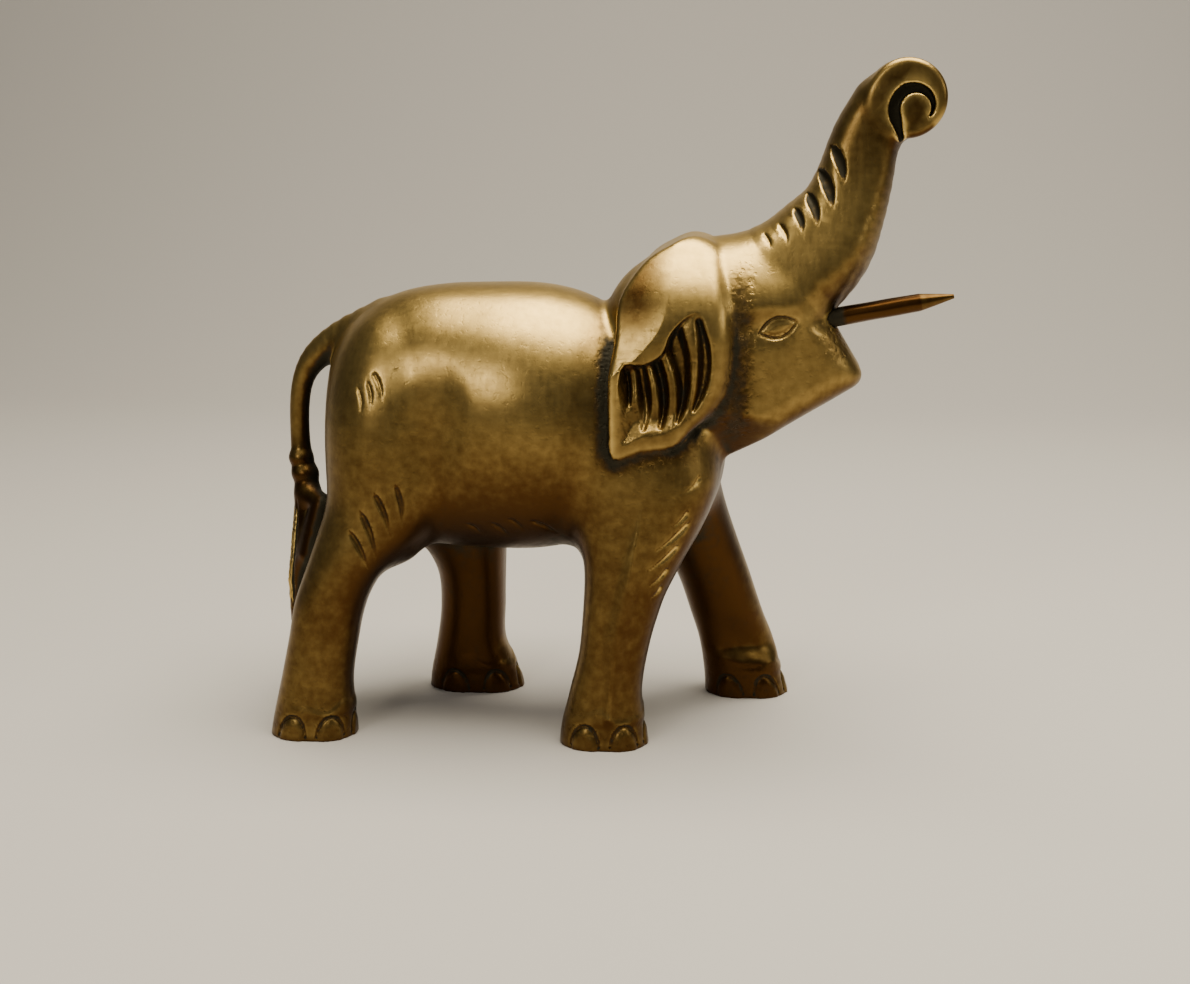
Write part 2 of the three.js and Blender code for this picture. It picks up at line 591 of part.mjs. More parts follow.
function thin({ positions, triangles }, budget) {
  const points = Array.from({ length: positions.length / 3 }, (_, i) => positions.slice(3 * i, 3 * i + 3));
  const faces = Array.from({ length: triangles.length / 3 }, (_, i) => triangles.slice(3 * i, 3 * i + 3));
  const around = points.map(() => new Set());
  const quadrics = points.map(() => new Array(QUADRIC).fill(0));
  const stamps = points.map(() => 0);
  faces.forEach((face, f) => {
    const normal = faceNormal(...face.map((v) => points[v]));
    const area = span(...normal);
    const unit = normal.map((n) => n / area);
    const offset = -unit.reduce((sum, n, k) => sum + n * points[face[0]][k], 0);
    const plane = planeQuadric(unit, offset, area);
    for (const v of face) {
      around[v].add(f);
      for (let k = 0; k < QUADRIC; k += 1) quadrics[v][k] += plane[k];
    }
  });
  const neighbours = (v) => {
    const found = new Set();
    for (const f of around[v]) for (const w of faces[f]) if (w !== v) found.add(w);
    return found;
  };
  const heap = new Heap();
  const offer = (a, b) => {
    const q = quadrics[a].map((value, k) => value + quadrics[b][k]);
    const middle = points[a].map((value, k) => (value + points[b][k]) / 2);
    const length = span(...points[a].map((value, k) => value - points[b][k]));
    let at = quadricBest(q, middle);
    if (span(...at.map((value, k) => value - middle[k])) > length) at = middle;
    const cost = quadricCost(q, ...at) + 1e-7 * length * length;
    heap.push({ cost, a, b, stampA: stamps[a], stampB: stamps[b], at });
  };
  const folds = (v, other, at) => {
    for (const f of around[v]) {
      const face = faces[f];
      if (face.includes(other)) continue;
      const before = faceNormal(...face.map((w) => points[w]));
      const after = faceNormal(...face.map((w) => (w === v ? at : points[w])));
      const dot = before[0] * after[0] + before[1] * after[1] + before[2] * after[2];
      if (dot < 0.25 * span(...before) * span(...after) || span(...after) < 1e-4) return true;
    }
    return false;
  };
  points.forEach((_, v) => {
    for (const w of neighbours(v)) if (v < w) offer(v, w);
  });
  let count = faces.length;
  while (count > budget && heap.items.length > 0) {
    const { a, b, stampA, stampB, at } = heap.pop();
    if (stamps[a] !== stampA || stamps[b] !== stampB) continue;
    const nearB = neighbours(b);
    const shared = [...neighbours(a)].filter((v) => nearB.has(v));
    if (shared.length !== 2 || folds(a, b, at) || folds(b, a, at)) continue;
    for (const f of around[b]) {
      if (faces[f].includes(a)) {
        for (const v of faces[f]) if (v !== b) around[v].delete(f);
        faces[f] = null;
        count -= 1;
      } else {
        faces[f] = faces[f].map((v) => (v === b ? a : v));
        around[a].add(f);
      }
    }
    points[a] = at;
    stamps[a] += 1;
    stamps[b] = -1;
    for (let k = 0; k < QUADRIC; k += 1) quadrics[a][k] += quadrics[b][k];
    for (const v of neighbours(a)) offer(a, v);
  }
  return { points, faces: faces.filter((face) => face !== null) };
}

// Solids
const wasm = await Module();
wasm.setup();

function solidOf(geometry) {
  const bare = geometry.clone();
  bare.deleteAttribute('normal');
  bare.deleteAttribute('uv');
  const merged = mergeVertices(bare, 1e-5);
  return new wasm.Manifold(new wasm.Mesh({
    numProp: 3,
    vertProperties: new Float32Array(merged.attributes.position.array),
    triVerts: new Uint32Array(merged.index.array),
  }));
}

function geometryOf(solid) {
  const mesh = solid.getMesh();
  const geometry = new THREE.BufferGeometry();
  geometry.setAttribute('position', new THREE.BufferAttribute(new Float32Array(mesh.vertProperties), 3));
  geometry.setIndex(new THREE.BufferAttribute(new Uint32Array(mesh.triVerts), 1));
  geometry.computeVertexNormals();
  return geometry;
}

// Carving: each line is cut by a closed wedge that follows the skin.
// A line is rows of a point, the wedge's radius there and the way out of the skin.
const WEDGE_SIDES = 3;

// Where a ray from a point inside the figure leaves its skin, found by halving
function leaves(from, direction, reach) {
  let inner = 0;
  let outer = reach;
  for (let i = 0; i < 22; i += 1) {
    const middle = (inner + outer) / 2;
    const [x, y, z] = from.map((value, k) => value + direction[k] * middle);
    if (dressed(x, y, z) < 0) inner = middle;
    else outer = middle;
  }
  return from.map((value, k) => value + direction[k] * inner);
}

function wedge(rows) {
  const points = rows.map(([x, y, z]) => new THREE.Vector3(x, y, z));
  const corners = [points[0]];
  const ring = (i, k) => 1 + (i - 1) * WEDGE_SIDES + k % WEDGE_SIDES;
  const index = [];
  const last = rows.length - 1;
  for (let i = 1; i < last; i += 1) {
    const along = points[i + 1].clone().sub(points[i - 1]).normalize();
    const out = new THREE.Vector3(...rows[i].slice(4)).normalize();
    const across = along.clone().cross(out).normalize();
    const up = across.clone().cross(along).normalize();
    for (let k = 0; k < WEDGE_SIDES; k += 1) {
      const turn = PI * (2 * k / WEDGE_SIDES - 0.5);
      const corner = points[i].clone().addScaledVector(across, rows[i][3] * cos(turn));
      corners.push(corner.addScaledVector(up, rows[i][3] * sin(turn)));
    }
  }
  corners.push(points[last]);
  const end = corners.length - 1;
  for (let k = 0; k < WEDGE_SIDES; k += 1) {
    index.push(0, ring(1, k), ring(1, k + 1), end, ring(last - 1, k + 1), ring(last - 1, k));
    for (let i = 1; i + 1 < last; i += 1) {
      index.push(ring(i, k), ring(i + 1, k), ring(i + 1, k + 1));
      index.push(ring(i, k), ring(i + 1, k + 1), ring(i, k + 1));
    }
  }
  const geometry = new THREE.BufferGeometry();
  const values = corners.flatMap((corner) => corner.toArray().map((value) => value * SHARE));
  geometry.setAttribute('position', new THREE.BufferAttribute(new Float32Array(values), 3));
  geometry.setIndex(index);
  return geometry.toNonIndexed();
}

// A line on a flank, given in (x, z) with its radius and pushed out to the skin on one side
function flankRow(x, z, radius, sign) {
  return [...leaves([x, 0, z], [0, sign, 0], FLANK_REACH), radius, 0, sign, 0];
}

// Chisel strokes: from and to (x, z) with the full width. They swell at once and run out thin.
const STROKES = [
  { from: [34.7, 87.5], to: [36.2, 82.4], width: 2 },
  { from: [33, 84.2], to: [34.7, 79], width: 2.1 },
  { from: [31.2, 80.9], to: [32.6, 76.4], width: 1.5 },
  { from: [29.2, 79], to: [30.3, 75.3], width: 1.3 },
  { from: [27, 76.8], to: [28.2, 73.8], width: 1.1 },
  { from: [-33.2, 53.6], to: [-32.7, 49.4], width: 0.9 },
  { from: [-31.8, 54.5], to: [-31.2, 50.3], width: 0.9 },
  { from: [-30.9, 55.8], to: [-29.5, 51.5], width: 1.2 },
  { from: [-34.8, 32.4], to: [-32.1, 26.4], width: 1.3 },
  { from: [-33, 35.4], to: [-30.9, 28.2], width: 1.5 },
  { from: [-30.8, 38.2], to: [-28.7, 31.5], width: 1.5 },
  { from: [-27.6, 39.4], to: [-27, 32.9], width: 1.3 },
  { from: [16.5, 40.9], to: [14.5, 38.8], width: 0.9 },
  { from: [14.9, 36], to: [12.6, 33.8], width: 1 },
  { from: [15.2, 34.3], to: [10.3, 30.3], width: 1.2 },
  { from: [13.7, 31], to: [9.2, 27.4], width: 1.2 },
  { from: [12.1, 27.5], to: [9.3, 25], width: 1 },
];
const STROKE_STEPS = 4;
const STROKE_BOW = 0.3;
const FLANK_REACH = 24;

function strokeLines({ from, to, width }) {
  return [RIGHT, LEFT].map((sign) => Array.from({ length: STROKE_STEPS + 1 }, (_, i) => {
    const t = i / STROKE_STEPS;
    const radius = width / 2 * sqrt(sin(PI * min(0.999, 0.12 + 0.88 * t ** 0.85)));
    const x = mix(from[0], to[0], t) + STROKE_BOW * sin(PI * t);
    return flankRow(x, mix(from[1], to[1], t), radius, sign);
  }));
}

// The almond's two rims meet in its corners, so each eye is two lines
const EYE_STEPS = 5;

function eyeLines() {
  const [rx, rz] = EYE.rear;
  const [fx, fz] = EYE.front;
  const slope = atan2(fz - rz, fx - rx);
  return [[RIGHT, 1], [RIGHT, -1], [LEFT, 1], [LEFT, -1]].map(([sign, rim]) => (
    Array.from({ length: EYE_STEPS + 1 }, (_, i) => {
      const t = i / EYE_STEPS;
      const lift = rim * EYE.halfHeight * 4 * t * (1 - t);
      const x = mix(rx, fx, t) - lift * sin(slope);
      return flankRow(x, mix(rz, fz, t) + lift * cos(slope), EYE.line, sign);
    })
  ));
}

// An arch round each nail, from the ground up over it and down again
const NAIL_STEPS = 5;

function nailLines(leg) {
  return NAILS.angles.map((angle) => Array.from({ length: NAIL_STEPS + 1 }, (_, i) => {
    const t = PI * (i / NAIL_STEPS);
    const z = NAILS.top * NAILS.margin * sin(t) + NAILS.start;
    const [, back, front, middle, halfWidth] = leg.at(z);
    const radius = (front - back) / 2;
    const around = radians(angle) + NAILS.halfWidth * NAILS.margin * cos(t) / ((radius + halfWidth) / 2);
    const out = [cos(around) * radius, sin(around) * halfWidth, 0];
    const length = span(...out);
    const direction = out.map((value) => value / length);
    const from = [(front + back) / 2, leg.side * middle, z];
    return [...leaves(from, direction, NAILS.reach), NAILS.line, ...direction];
  }));
}

// Locks of hair down the tuft
const HAIR_STEPS = 5;
const HAIR = { top: 34, bottom: 18.5, spread: [-50, -15, 20, 55], twist: 10, width: 0.42, reach: 6 };

function hairLines() {
  return HAIR.spread.map((angle) => Array.from({ length: HAIR_STEPS + 1 }, (_, i) => {
    const t = i / HAIR_STEPS;
    const z = mix(HAIR.top, HAIR.bottom, t);
    const [x, y] = tailAt(z);
    const turn = radians(180 + angle + HAIR.twist * t);
    const direction = [cos(turn), sin(turn), 0];
    const radius = HAIR.width * sqrt(sin(PI * mix(0.04, 0.96, t)));
    return [...leaves([x, y, z], direction, HAIR.reach), radius, ...direction];
  }));
}

function tailAt(z) {
  const below = TAIL_LINE.findIndex((row) => row[2] < z);
  const [upper, lower] = [TAIL_LINE[below - 1], TAIL_LINE[below]];
  const t = (upper[2] - z) / (upper[2] - lower[2]);
  return [mix(upper[0], lower[0], t), mix(upper[1], lower[1], t)];
}

function carvedLines() {
  return [...STROKES.flatMap(strokeLines), ...eyeLines(), ...LEGS.flatMap(nailLines), ...hairLines()];
}

// Tusks: a filed rod in a socket at each mouth corner. The left one is set a little lower.
const TUSK_SIDES = 10;
const TUSKS = [
  { name: 'tusk_right', side: RIGHT, root: [35.4, 63.1], rise: radians(11) },
  { name: 'tusk_left', side: LEFT, root: [35.4, 62.3], rise: radians(10.5) },
];

// Moves a form that stands on the origin along +Z to the tusk's root, pointing forwards and up
function setAsTusk(geometry, tusk) {
  geometry.rotateY(PI / 2 - tusk.rise);
  geometry.translate(tusk.root[0] * SHARE, tusk.side * TUSK_SPACING / 2, tusk.root[1] * SHARE);
  return geometry;
}

function tuskGeometry(tusk) {
  const radius = TUSK_DIAMETER / 2;
  const profile = [
    new THREE.Vector2(0, SOCKET_CLEARANCE - SOCKET_DEPTH),
    new THREE.Vector2(radius, SOCKET_CLEARANCE - SOCKET_DEPTH),
    new THREE.Vector2(radius, TUSK_REACH - TUSK_POINT),
    new THREE.Vector2(TUSK_TIP / 2, TUSK_REACH),
    new THREE.Vector2(0, TUSK_REACH),
  ];
  const rod = new THREE.LatheGeometry(profile, TUSK_SIDES);
  rod.rotateX(PI / 2);
  return setAsTusk(rod, tusk);
}

// The socket opens through whatever lies in front of the rod within its own depth
function socketGeometry(tusk) {
  const radius = (TUSK_DIAMETER / 2 + SOCKET_CLEARANCE) / cos(PI / (2 * TUSK_SIDES));
  const bore = new THREE.CylinderGeometry(radius, radius, 2 * SOCKET_DEPTH, 2 * TUSK_SIDES);
  bore.rotateX(PI / 2);
  return setAsTusk(bore, tusk);
}

// Where a carved line grazes the skin it can part off a crumb under a cubic millimetre
function withoutCrumbs(solid) {
  return solid.decompose().reduce((kept, body) => (body.volume() > kept.volume() ? body : kept));
}

function castingGeometry() {
  const { points, faces } = thin(skin(dressed, SAMPLE_STEP / SHARE), CASTING_TRIANGLES);
  const geometry = new THREE.BufferGeometry();
  const corners = faces.flatMap((face) => face.flatMap((v) => points[v].map((value) => value * SHARE)));
  geometry.setAttribute('position', new THREE.BufferAttribute(new Float32Array(corners), 3));
  const below = new THREE.BoxGeometry(2 * FIGURE_HEIGHT, FIGURE_HEIGHT, FIGURE_HEIGHT);
  below.translate(0, 0, -FIGURE_HEIGHT / 2);
  let solid = solidOf(geometry).subtract(solidOf(below));
  for (const line of carvedLines()) solid = solid.subtract(solidOf(wedge(line)));
  for (const tusk of TUSKS) solid = solid.subtract(solidOf(socketGeometry(tusk)));
  return geometryOf(withoutCrumbs(solid));
}

// Finish
const castBrass = new THREE.MeshStandardMaterial({ color: 0x9a8350, roughness: 0.34, metalness: 1 });
const filedBrass = new THREE.MeshStandardMaterial({ color: 0xa58a5c, roughness: 0.28, metalness: 1 });

function piece(name, geometry, material) {
  const mesh = new THREE.Mesh(geometry, material);
  mesh.name = name;
  return mesh;
}

const elephant = new THREE.Group();
elephant.add(piece('elephant_casting', castingGeometry(), castBrass));
for (const tusk of TUSKS) elephant.add(piece(tusk.name, tuskGeometry(tusk), filedBrass));

// The middle of the box goes over the origin
const box = new THREE.Box3().setFromObject(elephant);
elephant.position.set(-(box.min.x + box.max.x) / 2, -(box.min.y + box.max.y) / 2, -box.min.z);

export default elephant;
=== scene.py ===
"""Brass elephant figurine with its trunk raised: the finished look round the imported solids.

The casting is worked out again as a free form on a fine grid, with the carving cut into it,
and takes the place of its faceted solid. Lengths named in metres are real sizes; all the rest
of the form is in shares, hundredths of the figure's own height, as a sculptor would measure it.
"""

import logging
import math
from dataclasses import dataclass, field
from enum import Enum
from typing import Callable, Sequence

import bpy
import numpy as np
import openvdb
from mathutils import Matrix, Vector

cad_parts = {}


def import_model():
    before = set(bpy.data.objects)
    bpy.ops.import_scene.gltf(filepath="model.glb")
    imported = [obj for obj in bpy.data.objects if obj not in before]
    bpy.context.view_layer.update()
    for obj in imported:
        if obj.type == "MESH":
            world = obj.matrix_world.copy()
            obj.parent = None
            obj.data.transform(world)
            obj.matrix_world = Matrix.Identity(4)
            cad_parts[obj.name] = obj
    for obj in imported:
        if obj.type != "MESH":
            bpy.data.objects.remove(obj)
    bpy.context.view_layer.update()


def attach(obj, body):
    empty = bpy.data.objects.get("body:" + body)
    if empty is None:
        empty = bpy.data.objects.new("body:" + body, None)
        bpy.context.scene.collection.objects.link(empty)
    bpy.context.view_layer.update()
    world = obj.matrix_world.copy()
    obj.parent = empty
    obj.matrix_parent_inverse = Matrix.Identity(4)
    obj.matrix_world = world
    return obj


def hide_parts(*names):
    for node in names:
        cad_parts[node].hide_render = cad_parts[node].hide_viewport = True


log = logging.getLogger("elephant")

Array = np.ndarray
Row = Sequence[float]
Field = Callable[[Array, Array, Array], Array]

# Driving sizes, in metres
FIGURE_HEIGHT = 0.178
FORM_OFFSET = (-0.0038008, -0.0012537, 0.0)
GRID_STEP = 0.00045
CASTING_TRIANGLES = 192000

# The tusks' sizes, in metres
TUSK_DIAMETER = 0.0048
TUSK_REACH = 0.031
TUSK_POINT = 0.009
TUSK_TIP = 0.0012
TUSK_SPACING = 0.014
SOCKET_DEPTH = 0.009
SOCKET_CLEARANCE = 0.0003

# One share in metres, and in shares how far round a limb its form is worked out
SHARE = FIGURE_HEIGHT / 100
FAR = 4.0

# What keeps a distance steady near the middle of its form
TINY = 1e-6
LEAST_SLOPE = 1e-3
CORE_REACH = 0.05
CORE_DEPTH = 0.95

# How many pieces a smooth line or outline has for each of its points
LINE_PIECES = 3
OUTLINE_PIECES = 4


class Side(Enum):
    """The elephant's own sides, as a sign along +Y."""

    RIGHT = -1
    LEFT = 1


class Tone(Enum):
    """How much light a carved line's floor has kept: worn clean, or full of patina."""

    WORN = 0.0
    AGED = 0.5
    DARK = 0.75


# Distances: negative inside a form; blend is the width of the rounded seam between two


def ease(start: float, stop: float, value: Array) -> Array:
    """Rises smoothly from nought at start to one at stop."""
    t = np.clip((value - start) / (stop - start), 0, 1)
    return t * t * (3 - 2 * t)


def between(start: Row, stop: Row, share: float) -> list[float]:
    """Gives the point that lies a share of the way from start to stop."""
    return [a + (b - a) * share for a, b in zip(start, stop)]


@dataclass(frozen=True)
class Ramp:
    """A smooth rise from nought at one value to one at another."""

    start: float
    stop: float

    def __call__(self, value: Array) -> Array:
        """Gives how far the rise has come at each value."""
        return ease(self.start, self.stop, value)


def join(a: Array, b: Array, blend: float) -> Array:
    """Melts two forms together."""
    overlap = np.maximum(blend - np.abs(a - b), 0) / blend
    return np.minimum(a, b) - overlap * overlap * blend / 4


def overlap_of(a: Array, b: Array, blend: float) -> Array:
    """Keeps what lies in both forms."""
    return -join(-a, -b, blend)


def cut(a: Array, tool: Array, blend: float) -> Array:
    """Takes the tool's form out of the first one."""
    return -join(-a, tool, blend)


def ellipsoid(x: Array, y: Array, z: Array, at: Row, radii: Row) -> Array:
    """Gives the near enough distance to an ellipsoid.

    Args:
        x, y, z: the points.
        at: its middle.
        radii: its three radii.

    Returns:
        The distance at each point.
    """
    u, v, w = (x - at[0]) / radii[0], (y - at[1]) / radii[1], (z - at[2]) / radii[2]
    reach = np.sqrt(u * u + v * v + w * w)
    slope = np.sqrt((u / radii[0]) ** 2 + (v / radii[1]) ** 2 + (w / radii[2]) ** 2)
    return reach * (reach - 1) / np.maximum(slope, TINY)


def rounded_section(u: Array, v: Array, radius_u: Array, radius_v: Array, power: float) -> Array:
    """Gives the distance to a section between an ellipse (power 2) and a rectangle.

    Args:
        u, v: the points' offsets from the middle.
        radius_u, radius_v: the section's radii.
        power: how square it is.

    Returns:
        The distance at each point.
    """
    a, b = np.abs(u) / radius_u, np.abs(v) / radius_v
    reach = np.maximum((a**power + b**power) ** (1 / power), CORE_REACH)
    slope = np.sqrt((a ** (power - 1) / radius_u) ** 2 + (b ** (power - 1) / radius_v) ** 2)
    slope = np.maximum(slope * reach ** (1 - power), LEAST_SLOPE)
    return np.maximum((reach - 1) / slope, -CORE_DEPTH * np.minimum(radius_u, radius_v))


def chain(point: Sequence[Array], rows: Sequence[Row]) -> Array:
    """Gives the distance to round sections strung along a line.

    Args:
        point: the coordinates, as many as a row has before its radius.
        rows: the line's points, each with its radius last.

    Returns:
        The distance to the nearest of them.
    """
    size = len(point)
    nearest = np.full_like(point[0], np.inf)
    for start, stop in zip(rows, rows[1:]):
        run = [stop[k] - start[k] for k in range(size)]
        along = sum((point[k] - start[k]) * run[k] for k in range(size))
        t = np.clip(along / sum(value * value for value in run), 0, 1)
        square = sum((point[k] - start[k] - run[k] * t) ** 2 for k in range(size))
        radius = start[size] + (stop[size] - start[size]) * t
        nearest = np.minimum(nearest, np.sqrt(square) - radius)
    return nearest


def polygon(x: Array, z: Array, corners: Sequence[Row]) -> Array:
    """Gives the distance to a closed outline in the side view.

    Args:
        x, z: the points.
        corners: the outline's corners.

    Returns:
        The distance at each point.
    """
    square = np.full_like(x, np.inf)
    inside = np.zeros(x.shape, bool)
    for (ax, az), (bx, bz) in zip(corners, corners[-1:] + corners[:-1]):
        along = (x - ax) * (bx - ax) + (z - az) * (bz - az)
        t = np.clip(along / ((bx - ax) ** 2 + (bz - az) ** 2), 0, 1)
        square = np.minimum(square, (x - ax - (bx - ax) * t) ** 2 + (z - az - (bz - az) * t) ** 2)
        if az != bz:
            crossing = (bx - ax) * (z - az) / (bz - az) + ax
            inside ^= ((az > z) != (bz > z)) & (x < crossing)
    return np.where(inside, -np.sqrt(square), np.sqrt(square))


class Track:
    """A smooth curve of values over a rising first value."""

    def __init__(self, rows: Sequence[Row]) -> None:
        """Keeps the rows and works out the slope at each.

        Args:
            rows: the first value and those that follow it, row by row.
        """
        table = np.array(rows, float)
        before = np.vstack([table[:1], table[:-1]])
        after = np.vstack([table[1:], table[-1:]])
        self.knots = table[:, 0]
        self.values = table[:, 1:]
        self.slopes = (after - before)[:, 1:] / (after - before)[:, :1]

    def __call__(self, at: Array) -> Array:
        """Gives the values, one row for each column of the table.

        Args:
            at: first values.

        Returns:
            One row of values for each column.
        """
        height = np.clip(at, self.knots[0], self.knots[-1])
        i = np.clip(np.searchsorted(self.knots, height) - 1, 0, len(self.knots) - 2)
        gap = self.knots[i + 1] - self.knots[i]
        t = (height - self.knots[i]) / gap
        a = t * t * (3 - 2 * t)
        b = t * (1 - t) * (1 - t) * gap
        c = t * t * (t - 1) * gap
        low, high = self.values[i], self.values[i + 1]
        a, b, c = a[..., None], b[..., None], c[..., None]
        return np.moveaxis(low + (high - low) * a + self.slopes[i] * b + self.slopes[i + 1] * c, -1, 0)


def smooth_rows(rows: Sequence[Row], pieces: int) -> list[list[float]]:
    """Draws a smooth line through the rows, as more rows."""
    line = Track([[i, *row] for i, row in enumerate(rows)])
    return line(np.arange((len(rows) - 1) * pieces + 1) / pieces).T.tolist()


def smooth_outline(corners: Sequence[Row], pieces: int) -> list[list[float]]:
    """Draws a closed smooth outline through the corners.

    Args:
        corners: the outline's corners.
        pieces: how many pieces each side gets.

    Returns:
        The new corners.
    """
    wrapped = [corners[-1], *corners, corners[0], corners[1]]
    line = Track([[i, *row] for i, row in enumerate(wrapped)])
    return line(1 + np.arange(len(corners) * pieces) / pieces).T.tolist()


@dataclass(frozen=True)
class Zone:
    """A part of the side view that holds a group of features."""

    back: float
    front: float
    bottom: float
    top: float

    def holds(self, x: Array, z: Array) -> Array:
        """Says which points lie in the zone."""
        return (x > self.back) & (x < self.front) & (z > self.bottom) & (z < self.top)


@dataclass(frozen=True)
class Mass:
    """One rounded mass of the body."""

    at: Row
    radii: Row
    blend: float


@dataclass
class Body:
    """The barrel with the haunches, shoulders, chest, neck and skull melted into it."""

    middle: Row = (-15.8, 47.3)
    radii: Row = (25.1, 20.1)
    power: float = 2.7
    half_width: float = 15.7
    side_power: float = 2.3
    masses: tuple[Mass, ...] = (
        Mass((-30.4, 6.8, 43.7), (9.4, 9.6, 18.6), 2.2),
        Mass((-10, 0, 47.2), (20, 17.3, 18.8), 3),
        Mass((5.6, 5, 42.6), (12.3, 10.2, 18), 3),
        Mass((8, 0, 43), (11.9, 12.4, 16), 3),
        Mass((12, 0, 58), (11.3, 12.4, 14.2), 1.6),
        Mass((20, 0, 64), (12.5, 11.6, 10.7), 2),
    )
    flank: Sequence[Row] = ((-21.6, 20.4, 61, 4.3), (-22.2, 20.4, 48, 4.9), (-23.4, 19.6, 36, 4.4))
    flank_blend: float = 2.6

    def distance(self, x: Array, side: Array, z: Array) -> Array:
        """Gives the distance to the body without its limbs.

        Args:
            x, side, z: the points, in shares, with side counted out from the middle.

        Returns:
            The distance at each point.
        """
        long = np.abs(x - self.middle[0]) / self.radii[0]
        tall = np.abs(z - self.middle[1]) / self.radii[1]
        profile = (long**self.power + tall**self.power) ** (1 / self.power)
        radius = min(self.radii)
        d = rounded_section(profile * radius, side, radius, self.half_width, self.side_power)
        for mass in self.masses:
            d = join(d, ellipsoid(x, side, z, mass.at, mass.radii), mass.blend)
        return cut(d, chain((x, side, z), self.flank), self.flank_blend)


@dataclass
class Leg:
    """A leg: rows of height, back edge, front edge, middle across and half width."""

    name: str
    side: Side
    instep: float
    rows: Sequence[Row]
    power: float = 2.35
    top: float = 46
    top_round: float = 1
    nail_angles: Sequence[float] = (0, 57, -57, 112, -112)
    nail_half_width: float = 1.9
    nail_top: float = 3.6
    nail_raise: float = 0.24
    nail_edge: Ramp = Ramp(0, -0.7)
    instep_height: float = 8.6
    instep_above: float = 6.6
    instep_below: float = 3
    instep_turn: float = 0
    instep_half_angle: float = math.radians(88)
    cuff_height: float = 5.2
    cuff_raise: float = 0.16
    cuff_swings: int = 3
    cuff_swing: float = 0.7
    cuff_ripples: int = 7
    cuff_ripple: float = 0.4
    cuff_edge: Ramp = Ramp(0.5, -0.5)
    cuff_front: Ramp = Ramp(2.4, 1.2)
    cuff_foot: Ramp = Ramp(3.2, 4.4)
    ridge: Sequence[Row] = ()
    ridge_raise: float = 0.7
    ridge_width: float = 2.1
    ridge_outer: Ramp = Ramp(-1, 2)

    def __post_init__(self) -> None:
        """Makes the smooth curve of the rows."""
        self.at = Track(self.rows)
        edges = [edge for row in self.rows for edge in row[1:3]]
        self.middle = (min(edges) + max(edges)) / 2
        self.reach = max(edges) - self.middle + FAR

    def around(self, x: Array, y: Array, z: Array) -> tuple[Array, ...]:
        """Gives a point's offsets from the leg's core, the section's radii and the angle.

        Args:
            x, y, z: the points, in shares.

        Returns:
            The offsets along and across, the two radii and the angle round the leg.
        """
        back, front, middle, half_width = self.at(z)
        along = x - (back + front) / 2
        across = y - self.side.value * middle
        radius = (front - back) / 2
        return along, across, radius, half_width, np.arctan2(across / half_width, along / radius)

    def nails(self, angle: Array, z: Array, radius: Array) -> Array:
        """Gives the height of the arched pads fanned about the foot's front.

        Args:
            angle: the angle round the leg.
            z: the height.
            radius: the section's mean radius.

        Returns:
            The height of the pads at each point.
        """
        relief = np.zeros_like(z)
        for degrees in self.nail_angles:
            turn = angle - math.radians(degrees)
            turn = np.arctan2(np.sin(turn), np.cos(turn))
            up = np.maximum(z, 0) / self.nail_top
            edge = (np.hypot(turn * radius / self.nail_half_width, up) - 1) * self.nail_half_width
            relief += self.nail_raise * self.nail_edge(edge)
        return relief

    def cuff(self, angle: Array, z: Array) -> Array:
        """Gives the height of the rough cuff left above the nails.

        Args:
            angle: the angle round the leg.
            z: the height.

        Returns:
            The cuff's height at each point.
        """
        edge = self.cuff_height + self.cuff_swing * np.sin(self.cuff_swings * angle + self.middle)
        edge = edge + self.cuff_ripple * np.sin(self.cuff_ripples * angle)
        return self.cuff_raise * self.cuff_edge(z - edge) * self.cuff_front(np.abs(angle)) * self.cuff_foot(z)

    def scoop(self, angle: Array, z: Array) -> Array:
        """Gives the depth of the instep, steeper below than above.

        Args:
            angle: the angle round the leg.
            z: the height.

        Returns:
            The scoop's depth at each point.
        """
        reach = np.where(z > self.instep_height, self.instep_above, self.instep_below)
        turn = (angle - self.instep_turn) / self.instep_half_angle
        return self.instep * ease(1, 0, np.hypot((z - self.instep_height) / reach, turn))

    def distance(self, x: Array, y: Array, z: Array) -> Array:
        """Gives the distance to the leg with its nails, its rough cuff and its instep.

        Args:
            x, y, z: the points, in shares.

        Returns:
            The distance at each point.
        """
        along, across, radius, half_width, angle = self.around(x, y, z)
        d = rounded_section(along, across, radius, half_width, self.power)
        d = d - self.nails(angle, z, (radius + half_width) / 2)
        d = d - self.cuff(angle, z)
        d = d + self.scoop(angle, z)
        if self.ridge:
            outer = self.ridge_outer(y * self.side.value - self.at(z)[2])
            ridge = ease(self.ridge_width, 0, chain((x, z), self.ridge))
            d = d - self.ridge_raise * outer * ridge
        return overlap_of(d, z - self.top, self.top_round)


